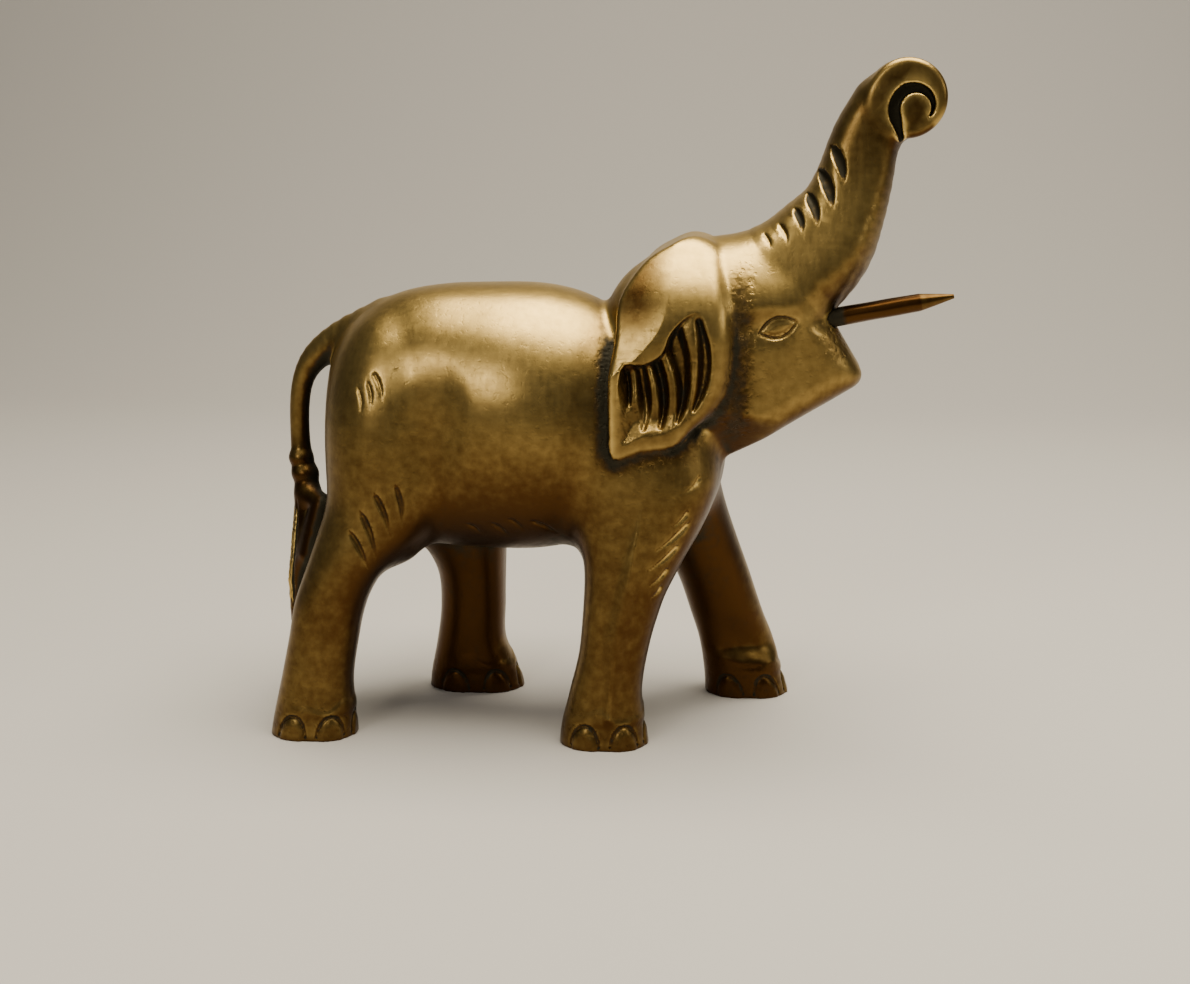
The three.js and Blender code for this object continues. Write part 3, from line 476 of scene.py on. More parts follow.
LEGS = (
    Leg("right fore leg", Side.RIGHT, 0.12, (
        (-3, -4.1, 9.4, 12.5, 5.1), (2, -3.9, 8.8, 12.4, 4.9), (7.5, -2.7, 8.3, 12.1, 4.6),
        (14, -1.2, 9.1, 11.6, 4.7), (21.5, -0.6, 11.1, 11, 5.2), (26.5, -0.6, 13.4, 10.3, 5.9),
        (32.5, -1.6, 16.5, 9.2, 6.8), (39, -2.5, 18.6, 8, 7.4), (46, -2.5, 17.5, 6.8, 7),
    ), ridge=((8.6, 38, -2), (7.2, 30.5, -0.8), (6.2, 24, 0), (4.6, 16.8, 0), (3.6, 5, -0.8))),
    Leg("left fore leg", Side.LEFT, 1.4, (
        (-3, 17, 31, 13.8, 5.1), (3, 16.7, 29.3, 13.7, 4.9), (8.8, 15.8, 27.9, 13.3, 4.6),
        (13.5, 14.4, 26, 12.8, 4.7), (19.6, 12.4, 24, 12, 5.1), (28.9, 8, 20.8, 10.5, 6.1),
        (34.5, 4.5, 19.2, 9.2, 6.8), (42, 1, 17.8, 7.4, 7),
    ), instep_turn=math.radians(-66)),
    Leg("right hind leg", Side.RIGHT, 0.12, (
        (-3, -48.9, -35.4, 12.4, 5.1), (2.6, -47.9, -35.5, 12.3, 4.9), (7.7, -46.8, -35.7, 12, 4.7),
        (14, -45.5, -35, 11.5, 4.8), (20, -44.4, -33.7, 10.9, 5.3), (23.7, -43.2, -31.9, 10.4, 5.8),
        (27, -42, -29.2, 10, 6.2), (31, -40.7, -25.2, 9.4, 6.7), (37, -38.9, -21.8, 8.4, 7.2),
        (46, -37.6, -21.5, 6.8, 7),
    )),
    Leg("left hind leg", Side.LEFT, 0.2, (
        (-3, -28.6, -12.7, 12.4, 5.1), (2.2, -28.2, -13.6, 12.3, 4.9), (7.8, -27.1, -15.6, 12, 4.7),
        (14.5, -26.2, -15.8, 11.5, 4.8), (20.3, -26.6, -15.6, 10.9, 5.4), (25, -28.9, -15.4, 10.2, 6.1),
        (31, -33.5, -15.8, 9.3, 6.8), (38, -37, -17, 8.2, 7.2), (46, -37.6, -19, 6.8, 7),
    )),
)
LEG_BLEND = 2.6


@dataclass
class Jaw:
    """A wedge with a sloping mouth face, a rising underside and cheeks that draw in."""

    lip: Row = (40.5, 53.9)
    mouth_normal: Row = (0.856, 0.516)
    under_normal: Row = (0.486, -0.874)
    lip_round: float = 2.4
    cheek_at: float = 22
    cheek_half_width: float = 12
    cheek_draw: float = 0.33
    cheek_round: float = 4
    chamfer_at: Row = (24, 9.6, 47.4)
    chamfer_normal: Row = (0.1, 0.74, -0.66)
    chamfer_round: float = 0.5
    back: float = 15
    back_round: float = 3
    top: float = 68
    top_round: float = 7
    blend: float = 1.6

    def distance(self, x: Array, side: Array, z: Array) -> Array:
        """Gives the distance to the jaw.

        Args:
            x, side, z: the points, in shares, with side counted out from the middle.

        Returns:
            The distance at each point.
        """
        dx, dz = x - self.lip[0], z - self.lip[1]
        mouth = dx * self.mouth_normal[0] + dz * self.mouth_normal[1]
        under = dx * self.under_normal[0] + dz * self.under_normal[1]
        cheek = side - self.cheek_half_width + (x - self.cheek_at) * self.cheek_draw
        off = [value - at for value, at in zip((x, side, z), self.chamfer_at)]
        chamfer = sum(value * along for value, along in zip(off, self.chamfer_normal))
        d = overlap_of(mouth, under, self.lip_round)
        d = overlap_of(d, cheek, self.cheek_round)
        d = overlap_of(d, chamfer, self.chamfer_round)
        d = overlap_of(d, self.back - x, self.back_round)
        return overlap_of(d, z - self.top, self.top_round)


@dataclass
class Trunk:
    """The raised trunk and the flat-sided curl at its end, with a spiral cut in each side."""

    line: Sequence[Row] = (
        (23, 65.6, 9.3), (29.2, 69.4, 8.4), (33.3, 73.4, 7.7), (36, 77.6, 6.4),
        (37.8, 82.5, 5.6), (39.3, 88.4, 5), (41.8, 93, 4.9),
    )
    squash: float = 0.86
    edge: float = 1.3
    flat: Sequence[Row] = ((60, 12), (70, 8.6), (80, 5.7), (88, 4.6), (94, 4.2), (101, 4))
    root_blend: float = 2.6
    blend: float = 1
    root_top: float = 67
    free: float = 77
    curl_at: Row = (44.9, 94.4)
    curl_radius: float = 5.65
    curl_half_width: float = 4.1
    curl_round: float = 1.1
    curl_bottom: float = 80
    boss: Row = (46.1, 92.9)
    boss_radius: float = 2.05
    spiral_from: float = math.radians(-28)
    spiral_to: float = math.radians(205)
    spiral_thin: float = 0.15
    spiral_wide: float = 0.85
    spiral_swell: float = 1.6
    spiral_growth: float = 0.25
    spiral_depth: float = 1.5
    spiral_edge: float = 0.2
    spiral_steps: int = 24
    mouth: Row = (44.2, 88.6)
    mouth_share: float = 0.3

    def __post_init__(self) -> None:
        """Draws the trunk's middle line and the spiral."""
        self.rows = [(x, 0.0, z, radius) for x, z, radius in smooth_rows(self.line, LINE_PIECES)]
        self.flat_at = Track(self.flat)
        self.spiral = []
        for i in range(self.spiral_steps + 1):
            t = i / self.spiral_steps
            angle = self.spiral_from + (self.spiral_to - self.spiral_from) * t
            half = self.spiral_thin + (self.spiral_wide - self.spiral_thin) * min(1, t * self.spiral_swell)
            radius = self.boss_radius + half + self.spiral_growth * t
            x = self.boss[0] + radius * math.cos(angle)
            self.spiral.append((x, self.boss[1] + radius * math.sin(angle), half))
        self.spiral.append((*self.mouth, self.spiral_wide * self.mouth_share))

    def distance(self, x: Array, side: Array, z: Array) -> Array:
        """Gives the distance to the trunk with its curl and spiral.

        Args:
            x, side, z: the points, in shares, with side counted out from the middle.

        Returns:
            The distance at each point.
        """
        tube = chain((x, side * self.squash, z), self.rows)
        d = overlap_of(tube, side - self.flat_at(z)[0], self.edge)
        high = z > self.curl_bottom
        hx, hs, hz = x[high], side[high], z[high]
        disc = np.hypot(hx - self.curl_at[0], hz - self.curl_at[1]) - self.curl_radius
        curl = join(d[high], overlap_of(disc, hs - self.curl_half_width, self.curl_round), self.blend)
        groove = chain((hx, hz), self.spiral)
        floor = self.curl_half_width - self.spiral_depth - hs
        d[high] = cut(curl, np.maximum(groove, floor), self.spiral_edge)
        return d


@dataclass
class Tail:
    """A cord that leaves the rump, hangs clear of it and ends in a tuft on the right hind leg."""

    line: Sequence[Row] = (
        (-32, 0, 60.2, 4.6), (-38.6, 0, 58.6, 2.9), (-42.7, 0, 56, 2.15), (-44.9, 0, 52.6, 1.65),
        (-45.75, 0, 48, 1.5), (-45.8, 0, 42.6, 1.5), (-45.4, -0.4, 38.9, 1.8), (-44.6, -1.3, 35.4, 1.9),
        (-44.3, -2.9, 28.5, 2.55), (-44.9, -4.3, 21.5, 2.35), (-45.9, -5.2, 15.6, 1),
    )
    web: Sequence[Row] = (
        (-44.7, -1.8, 35, 1.4), (-41.6, -4.4, 33.4, 1.9), (-43.2, -6, 26, 1.9), (-45.3, -4.6, 22, 1.3),
    )
    knots: Sequence[Row] = ((-45.8, -0.5, 40.2, 1.72), (-45, -0.9, 37.8, 1.98))
    knot_squash: float = 1.3
    knot_blend: float = 0.8
    front: float = -26
    blend: float = 0.9
    web_blend: float = 1.4
    hair_top: float = 34
    hair_bottom: float = 17.5
    hair_spread: Sequence[float] = (-70, -45, -22, 2, 26, 52)
    hair_twist: float = 10
    hair_width: float = 0.4
    hair_ends: float = 0.04

    def __post_init__(self) -> None:
        """Draws the tail's middle line."""
        self.rows = smooth_rows(self.line, LINE_PIECES)

    def distance(self, x: Array, y: Array, z: Array) -> Array:
        """Gives the distance to the cord with its tuft and its knots.

        Args:
            x, y, z: the points, in shares.

        Returns:
            The distance at each point.
        """
        d = chain((x, y, z), self.rows)
        for kx, ky, kz, radius in self.knots:
            away = np.sqrt((x - kx) ** 2 + (y - ky) ** 2 + (self.knot_squash * (z - kz)) ** 2)
            d = join(d, away - radius, self.knot_blend)
        return d

    def middle(self, z: float) -> tuple[float, float]:
        """Gives the middle of the tail at a height."""
        rising = np.array(self.rows[::-1])
        return tuple(float(np.interp(z, rising[:, 2], rising[:, k])) for k in (0, 1))


@dataclass
class Ear:
    """A slab that stands off the shoulder, its upper edge turned over a fluted hollow."""

    outline: Sequence[Row] = (
        (4.1, 43.9), (7.9, 45), (12.6, 45.6), (15.2, 48), (17.6, 49.9), (19.7, 52.8), (20.6, 57.5),
        (20.6, 63), (20, 68.5), (18.6, 73), (15, 74.6), (11.4, 73.3), (8, 70.9), (5, 66.2), (4.6, 61),
        (3.8, 56), (3.7, 49),
    )
    hollow: Sequence[Row] = (
        (4.9, 46.2), (8.2, 46.9), (11.8, 47.4), (15, 49.4), (17.3, 51.6), (18.4, 55), (18.4, 60.5),
        (16.6, 64.6), (14.4, 64.4), (12, 61.9), (10.8, 59.1), (8.4, 57.7), (5, 56.9),
    )
    fold: Sequence[Row] = ((55.8, 3.8), (58.7, 7.6), (62.6, 10.6), (66, 11.6), (74.6, 12.4))
    flutes: Sequence[Sequence[Row]] = (
        ((5.9, 56, 0.5), (6.2, 54, 0.3), (6.2, 51.5, -0.2)),
        ((7.8, 56.8, 0.8), (8.3, 53.6, 0.7), (8.6, 50.8, 0.35), (8.4, 48.2, -0.2)),
        ((9.9, 57.9, 0.6), (10.9, 54.6, 0.45), (11.2, 51.4, 0.25), (10.8, 48.4, -0.2)),
        ((12.3, 62.4, 0.9), (13.2, 59, 1.15), (13.9, 55.6, 0.8), (13.9, 52.4, 0.4), (13.2, 49.2, -0.2)),
        ((16.1, 63.4, 0.1), (16.9, 60, 0.5), (17, 56.6, 0.6), (16.5, 53.6, 0.3), (15.5, 50.8, -0.2)),
    )
    face_back: float = 17.2
    face_draw: float = 0.17
    middle: float = 60
    bow: float = 0.004
    crown_bow: float = 0.038
    turn_back: float = 0.34
    margin: float = 0.3
    hollow_depth: float = 1.45
    lip: float = 0.6
    low_lip: float = 2.6
    low: Ramp = Ramp(56, 49)
    fade: Ramp = Ramp(18, 9)
    flute_depth: float = 1.65
    flute_edge: Ramp = Ramp(0.85, -0.75)
    flute_lip: float = 1.1
    back_edge: float = 0.8
    front_edge: float = 3.2
    edge_turn: Ramp = Ramp(12, 20)
    blend: float = 0.6

    def __post_init__(self) -> None:
        """Makes the fold's curve and draws the smooth outlines."""
        self.fold_at = Track(self.fold)
        self.outline = smooth_outline(self.outline, OUTLINE_PIECES)
        self.hollow = smooth_outline(self.hollow, OUTLINE_PIECES)
        self.flutes = [smooth_rows(flute, LINE_PIECES) for flute in self.flutes]

    def face(self, x: Array, z: Array) -> Array:
        """Gives how far out the ear's face lies, with its fold, its hollow and its flutes.

        Args:
            x, z: the points in the side view, in shares.

        Returns:
            How far out the face lies at each point.
        """
        bow = np.where(z > self.middle, self.crown_bow, self.bow)
        face = self.face_back - self.face_draw * (x - self.outline[0][0]) - bow * (z - self.middle) ** 2
        turned = z > self.fold[0][0]
        face = face - np.where(turned, self.turn_back * np.maximum(0, self.fold_at(z)[0] - x), 0)
        hollow = polygon(x, z, self.hollow)
        lip = self.lip + (self.low_lip - self.lip) * self.low(z)
        sunk = ease(0, -1, hollow / lip) * self.fade(x)
        face = face - self.hollow_depth * sunk
        for flute in self.flutes:
            away = chain((x, z), flute)
            face = face - self.flute_depth * self.flute_edge(away) * ease(0, -self.flute_lip, hollow)
        return face

    def distance(self, x: Array, side: Array, z: Array) -> Array:
        """Gives the distance to the ear.

        Args:
            x, side, z: the points, in shares, with side counted out from the middle.

        Returns:
            The distance at each point.
        """
        outline = polygon(x, z, self.outline) - self.margin
        edge = self.back_edge + (self.front_edge - self.back_edge) * self.edge_turn(x)
        return overlap_of(outline, side - self.face(x, z), edge)


@dataclass
class Eye:
    """An almond with a leaf inside it, in a shallow hollow under the brow."""

    rear: Row = (24.7, 61.5)
    front: Row = (30, 63)
    half_height: float = 1.45
    line: float = 0.27
    innermost: float = 6
    leaf_raise: float = 0.22
    leaf_margin: float = 0.5
    leaf_slope: float = 0.6
    brow_at: Row = (28, 13.6, 62.4)
    brow_radii: Row = (6.2, 3, 2.6)
    brow_blend: float = 2.2

    def edge(self, x: Array, z: Array) -> Array:
        """Gives the distance to the almond's rim in the side view.

        Args:
            x, z: the points in the side view, in shares.

        Returns:
            The distance at each point.
        """
        run, rise = self.front[0] - self.rear[0], self.front[1] - self.rear[1]
        half = math.hypot(run, rise) / 2
        dx, dz = x - (self.rear[0] + self.front[0]) / 2, z - (self.rear[1] + self.front[1]) / 2
        along, across = (dx * run + dz * rise) / (2 * half), (dz * run - dx * rise) / (2 * half)
        radius = (half**2 + self.half_height**2) / (2 * self.half_height)
        return np.hypot(along, np.abs(across) + radius - self.half_height) - radius


@dataclass(frozen=True)
class Stroke:
    """One chisel cut on the flanks, from and to in the side view, with its full width."""

    start: Row
    stop: Row
    width: float
    tone: Tone = Tone.AGED


STROKES = (
    Stroke((34.2, 87.7), (36.2, 82.4), 1.9, Tone.DARK), Stroke((32.6, 84.3), (34.6, 78.9), 2, Tone.DARK),
    Stroke((31, 81.1), (32.5, 76.3), 1.5, Tone.DARK), Stroke((29.2, 79), (30.3, 75.3), 1.2, Tone.DARK),
    Stroke((27, 76.8), (28.2, 73.8), 0.9), Stroke((24.9, 75.4), (25.7, 72.9), 0.6),
    Stroke((-33.2, 53.6), (-32.7, 49.4), 0.6), Stroke((-31.8, 54.5), (-31.2, 50.3), 0.65),
    Stroke((-30.9, 55.8), (-29.5, 51.5), 0.85), Stroke((-34.8, 32.4), (-32.1, 26.4), 0.95),
    Stroke((-33, 35.4), (-30.9, 28.2), 1.05), Stroke((-30.8, 38.2), (-28.7, 31.5), 1.05),
    Stroke((-27.6, 39.4), (-27, 32.9), 0.9), Stroke((16.5, 40.9), (14.5, 38.8), 0.7, Tone.WORN),
    Stroke((14.9, 36), (12.6, 33.8), 0.75, Tone.WORN), Stroke((15.2, 34.3), (10.3, 30.3), 0.85, Tone.WORN),
    Stroke((13.7, 31), (9.2, 27.4), 0.85, Tone.WORN), Stroke((12.1, 27.5), (9.3, 25), 0.75, Tone.WORN),
    Stroke((11.1, 24.8), (9.6, 23.2), 0.7, Tone.WORN), Stroke((-11.5, 34.2), (-9.5, 31.9), 0.6),
    Stroke((-8.3, 33.9), (-4.4, 31.2), 0.7), Stroke((-14.2, 33.3), (-12, 30.7), 0.7),
    Stroke((-17.9, 33), (-16.2, 31.2), 0.6),
)


@dataclass(frozen=True)
class Line:
    """A line to be carved: points on the skin with their radius, and how dark its floor is."""

    rows: Sequence[Row]
    tone: Tone


@dataclass
class Carver:
    """Lays every carved line on the uncarved skin."""

    halvings: int = 22
    stroke_steps: int = 10
    stroke_bow: float = 0.45
    stroke_lift: float = 0.3
    stroke_early: float = 0.55
    stroke_swell: float = 0.8
    stroke_end: float = 0.08
    eye_steps: int = 14
    nail_steps: int = 14
    nail_line: float = 0.27
    nail_end: float = 0.3
    nail_foot: float = 0.2
    nail_margin: float = 1.08
    hair_steps: int = 10
    flank_reach: float = 24
    foot_reach: float = 12
    hair_reach: float = 6

    def land(self, skin: Field, starts: Array, ways: Array, reach: Array) -> Array:
        """Finds where rays from inside the figure leave its skin, by halving.

        Args:
            skin: the distance to the uncarved figure.
            starts: the rays' starts, one row each.
            ways: their directions.
            reach: how far each is followed.

        Returns:
            The points on the skin.
        """
        inner, outer = np.zeros(len(starts)), reach.astype(float)
        for _ in range(self.halvings):
            middle = (inner + outer) / 2
            inside = skin(*(starts + ways * middle[:, None]).T) < 0
            inner, outer = np.where(inside, middle, inner), np.where(inside, outer, middle)
        return starts + ways * inner[:, None]

    def stroke_rays(self, stroke: Stroke, side: Side) -> list[Row]:
        """Gives a stroke's rays: start, way, reach, radius and lift off the skin.

        Args:
            stroke: the cut.
            side: the side it is on.

        Returns:
            The rays, each with its start, way, reach, radius and lift.
        """
        rays = []
        for i in range(self.stroke_steps + 1):
            t = i / self.stroke_steps
            swell = abs(math.sin(math.pi * t**self.stroke_early)) ** self.stroke_swell
            radius = stroke.width / 2 * max(self.stroke_end, swell)
            x, z = between(stroke.start, stroke.stop, t)
            x += self.stroke_bow * math.sin(math.pi * t)
            rays.append((x, 0, z, 0, side.value, 0, self.flank_reach, radius, self.stroke_lift * radius))
        return rays

    def eye_rays(self, eye: Eye, side: Side, rim: int) -> list[Row]:
        """Gives the rays of one of an eye's two rims.

        Args:
            eye: the eye.
            side: the side it is on.
            rim: 1 for the upper rim, -1 for the lower.

        Returns:
            The rays, as stroke_rays gives them.
        """
        slope = math.atan2(eye.front[1] - eye.rear[1], eye.front[0] - eye.rear[0])
        rays = []
        for i in range(self.eye_steps + 1):
            t = i / self.eye_steps
            lift = rim * eye.half_height * 4 * t * (1 - t)
            x, z = between(eye.rear, eye.front, t)
            x, z = x - lift * math.sin(slope), z + lift * math.cos(slope)
            rays.append((x, 0, z, 0, side.value, 0, self.flank_reach, eye.line, 0))
        return rays

    def nail_rays(self, leg: Leg, degrees: float) -> list[Row]:
        """Gives the rays of the arch round one nail.

        Args:
            leg: the leg.
            degrees: the nail's angle round the leg.

        Returns:
            The rays, as stroke_rays gives them.
        """
        rays = []
        for i in range(self.nail_steps + 1):
            t = math.pi * i / self.nail_steps
            z = leg.nail_top * self.nail_margin * math.sin(t) - self.nail_foot
            back, front, middle, half_width = (float(value) for value in leg.at(np.array(z)))
            radius = (front - back) / 2
            turn = leg.nail_half_width * self.nail_margin * math.cos(t) / ((radius + half_width) / 2)
            angle = math.radians(degrees) + turn
            way = np.array((math.cos(angle) * radius, math.sin(angle) * half_width, 0))
            way /= np.linalg.norm(way)
            start = ((front + back) / 2, leg.side.value * middle, z)
            width = self.nail_line * (self.nail_end + (1 - self.nail_end) * math.sin(t))
            rays.append((*start, *way, self.foot_reach, width, 0))
        return rays

    def hair_rays(self, tail: Tail, degrees: float) -> list[Row]:
        """Gives the rays of one lock of hair down the tuft.

        Args:
            tail: the tail.
            degrees: the lock's angle round the tuft.

        Returns:
            The rays, as stroke_rays gives them.
        """
        rays = []
        for i in range(self.hair_steps + 1):
            t = i / self.hair_steps
            z = tail.hair_top + (tail.hair_bottom - tail.hair_top) * t
            turn = math.radians(180 + degrees + tail.hair_twist * t)
            swell = math.sin(math.pi * (tail.hair_ends + (1 - 2 * tail.hair_ends) * t))
            radius = tail.hair_width * math.sqrt(swell)
            x, y = tail.middle(z)
            rays.append((x, y, z, math.cos(turn), math.sin(turn), 0, self.hair_reach, radius, 0))
        return rays

    def lines(self, skin: Field, eye: Eye, tail: Tail) -> list[Line]:
        """Lays all the lines on the skin at once.

        Args:
            skin: the distance to the uncarved figure.
            eye: the eye.
            tail: the tail.

        Returns:
            The lines.
        """
        sides = (Side.RIGHT, Side.LEFT)
        groups = [(self.stroke_rays(stroke, side), stroke.tone) for stroke in STROKES for side in sides]
        groups += [(self.eye_rays(eye, side, rim), Tone.AGED) for side in sides for rim in (1, -1)]
        groups += [(self.nail_rays(leg, angle), Tone.AGED) for leg in LEGS for angle in leg.nail_angles]
        groups += [(self.hair_rays(tail, angle), Tone.DARK) for angle in tail.hair_spread]
        rays = np.array([ray for group, _ in groups for ray in group])
        points = self.land(skin, rays[:, :3], rays[:, 3:6], rays[:, 6]) + rays[:, 3:6] * rays[:, 8:9]
        rows = np.hstack([points, rays[:, 7:8]])
        ends = np.cumsum([len(group) for group, _ in groups])[:-1]
        return [Line(part.tolist(), tone) for part, (_, tone) in zip(np.split(rows, ends), groups)]


@dataclass
class Figure:
    """The whole casting as one distance: body, head, ears, trunk, tail, legs and carving."""

    body: Body = field(default_factory=Body)
    jaw: Jaw = field(default_factory=Jaw)
    trunk: Trunk = field(default_factory=Trunk)
    tail: Tail = field(default_factory=Tail)
    ear: Ear = field(default_factory=Ear)
    eye: Eye = field(default_factory=Eye)
    carver: Carver = field(default_factory=Carver)
    head_zone: Zone = Zone(12, 54, 38, 102)
    face_zone: Zone = Zone(20, 40, 56, 70)
    crease_zone: Zone = Zone(17, 27, 43, 75)
    ear_zone: Zone = Zone(-2, 26, 40, 80)
    mouth_corner: Sequence[Row] = ((38, 4.5, 63.3, 1.7), (34, 8.8, 62.9, 1.35), (31.6, 10.9, 62.2, 0.6))
    mouth_blend: float = 1.1
    cheek_crease: Sequence[Row] = ((21.9, 12, 71, 1), (22, 14, 60, 1.3), (21.8, 13.2, 47.5, 1.1))
    crease_blend: float = 1
    line_edge: float = 0.12
    line_margin: float = 1.5

    def __post_init__(self) -> None:
        """Lays the carved lines on the finished skin."""
        self.lines = self.carver.lines(self.skin, self.eye, self.tail)

    def mass(self, x: Array, y: Array, z: Array) -> Array:
        """Gives the distance to the figure before its face and ears.

        Args:
            x, y, z: the points, in shares.

        Returns:
            The distance at each point.
        """
        side = np.abs(y)
        d = self.body.distance(x, side, z)
        head = self.head_zone.holds(x, z)
        hx, hs, hz = x[head], side[head], z[head]
        dh = join(d[head], self.jaw.distance(hx, hs, hz), self.jaw.blend)
        trunk = self.trunk.distance(hx, hs, hz)
        freed = ease(self.trunk.root_top, self.trunk.free, hz)
        d[head] = join(dh, trunk, self.trunk.root_blend + (self.trunk.blend - self.trunk.root_blend) * freed)
        for leg in LEGS:
            near = (y * leg.side.value > -FAR) & (z < leg.top + FAR) & (np.abs(x - leg.middle) < leg.reach)
            d[near] = join(d[near], leg.distance(x[near], y[near], z[near]), LEG_BLEND)
        rear = x < self.tail.front
        point = (x[rear], y[rear], z[rear])
        dr = join(d[rear], self.tail.distance(*point), self.tail.blend)
        d[rear] = join(dr, chain(point, self.tail.web), self.tail.web_blend)
        return d

    def skin(self, x: Array, y: Array, z: Array) -> Array:
        """Gives the distance to the figure with its face and ears, before the carved lines.

        Args:
            x, y, z: the points, in shares.

        Returns:
            The distance at each point.
        """
        d = self.mass(x, y, z)
        side = np.abs(y)
        face = self.face_zone.holds(x, z)
        fx, fs, fz = x[face], side[face], z[face]
        df = cut(d[face], ellipsoid(fx, fs, fz, self.eye.brow_at, self.eye.brow_radii), self.eye.brow_blend)
        df = cut(df, chain((fx, fs, fz), self.mouth_corner), self.mouth_blend)
        leaf = ease(0, -self.eye.leaf_slope, self.eye.edge(fx, fz) + self.eye.leaf_margin)
        d[face] = df - np.where(fs > self.eye.innermost, self.eye.leaf_raise * leaf, 0)
        crease = self.crease_zone.holds(x, z)
        point = (x[crease], side[crease], z[crease])
        d[crease] = cut(d[crease], chain(point, self.cheek_crease), self.crease_blend)
        ears = self.ear_zone.holds(x, z)
        point = (x[ears], side[ears], z[ears])
        d[ears] = join(d[ears], self.ear.distance(*point), self.ear.blend)
        return np.maximum(d, -z)

    def line_distance(self, x: Array, y: Array, z: Array) -> tuple[Array, Array]:
        """Gives the distance to the nearest carved line and that line's tone.

        Args:
            x, y, z: the points, in shares.

        Returns:
            The distance and the tone at each point.
        """
        nearest = np.full(x.shape, FAR)
        tone = np.zeros(x.shape)
        for line in self.lines:
            rows = np.array(line.rows)
            low, high = rows[:, :3].min(0) - self.line_margin, rows[:, :3].max(0) + self.line_margin
            near = np.flatnonzero(
                (x > low[0]) & (x < high[0]) & (y > low[1]) & (y < high[1]) & (z > low[2]) & (z < high[2])
            )
            if len(near):
                d = chain((x[near], y[near], z[near]), line.rows)
                closer = d < nearest[near]
                nearest[near[closer]] = d[closer]
                tone[near[closer]] = line.tone.value
        return nearest, tone

    def carved(self, x: Array, y: Array, z: Array) -> Array:
        """Gives the distance to the finished figure."""
        return cut(self.skin(x, y, z), self.line_distance(x, y, z)[0], self.line_edge)


@dataclass(frozen=True)
class TuskSeat:
    """Where a tusk stands: its node, its side, its root in the side view and its rise."""

    node: str
    side: Side
    root: Row
    rise: float

    def base(self) -> Array:
        """Gives the root's place in metres, in the figure's own axes."""
        return np.array((self.root[0] * SHARE, self.side.value * TUSK_SPACING / 2, self.root[1] * SHARE))

    def way(self) -> Array:
        """Gives the direction the tusk points."""
        return np.array((math.cos(self.rise), 0, math.sin(self.rise)))

    def socket(self) -> list[list[float]]:
        """Gives the socket's line in shares, as two rows with their radius.

        Returns:
            The two rows.
        """
        radius = TUSK_DIAMETER / 2 + SOCKET_CLEARANCE
        ends = (self.base() + self.way() * (sign * SOCKET_DEPTH - min(sign, 0) * radius) for sign in (-1, 1))
        return [[*(end / SHARE), radius / SHARE] for end in ends]


TUSK_SEATS = (
    TuskSeat("tusk_right", Side.RIGHT, (35.4, 63.1), math.radians(11)),
    TuskSeat("tusk_left", Side.LEFT, (35.4, 62.3), math.radians(10.5)),
)


class MeshTools:
    """Small helpers that turn arrays and modifiers into plain meshes."""

    @staticmethod
    def to_frame(points: Array) -> Array:
        """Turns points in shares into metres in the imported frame."""
        return points * SHARE + np.array(FORM_OFFSET)

    @staticmethod
    def to_shares(points: Array) -> Array:
        """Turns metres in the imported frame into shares."""
        return (points - np.array(FORM_OFFSET)) / SHARE

    @staticmethod
    def points_of(mesh: bpy.types.Mesh) -> Array:
        """Reads a mesh's vertices.

        Args:
            mesh: the mesh.

        Returns:
            The points, one row each.
        """
        points = np.empty(len(mesh.vertices) * 3)
        mesh.vertices.foreach_get("co", points)
        return points.reshape(-1, 3)

    @staticmethod
    def keep_value(mesh: bpy.types.Mesh, name: str, values: Array) -> None:
        """Stores one value for each vertex under a name."""
        layer = mesh.attributes.get(name) or mesh.attributes.new(name, "FLOAT", "POINT")
        layer.data.foreach_set("value", np.asarray(values, np.float32))

    @staticmethod
    def add_object(name: str, mesh: bpy.types.Mesh) -> bpy.types.Object:
        """Links a mesh to the scene as an object at the origin.

        Args:
            name: its name.
            mesh: its mesh.

        Returns:
            The object.
        """
        piece = bpy.data.objects.new(name, mesh)
        bpy.context.scene.collection.objects.link(piece)
        return piece

    @staticmethod
    def apply_modifiers(piece: bpy.types.Object) -> None:
        """Turns the result of the piece's modifiers into its own plain mesh.

        Args:
            piece: the piece, which loses its modifiers.
        """
        bpy.context.view_layer.update()
        evaluated = piece.evaluated_get(bpy.context.evaluated_depsgraph_get())
        mesh = bpy.data.meshes.new_from_object(evaluated)
        piece.modifiers.clear()
        old, piece.data = piece.data, mesh
        bpy.data.meshes.remove(old)
        mesh.name = piece.name
        mesh.shade_smooth()


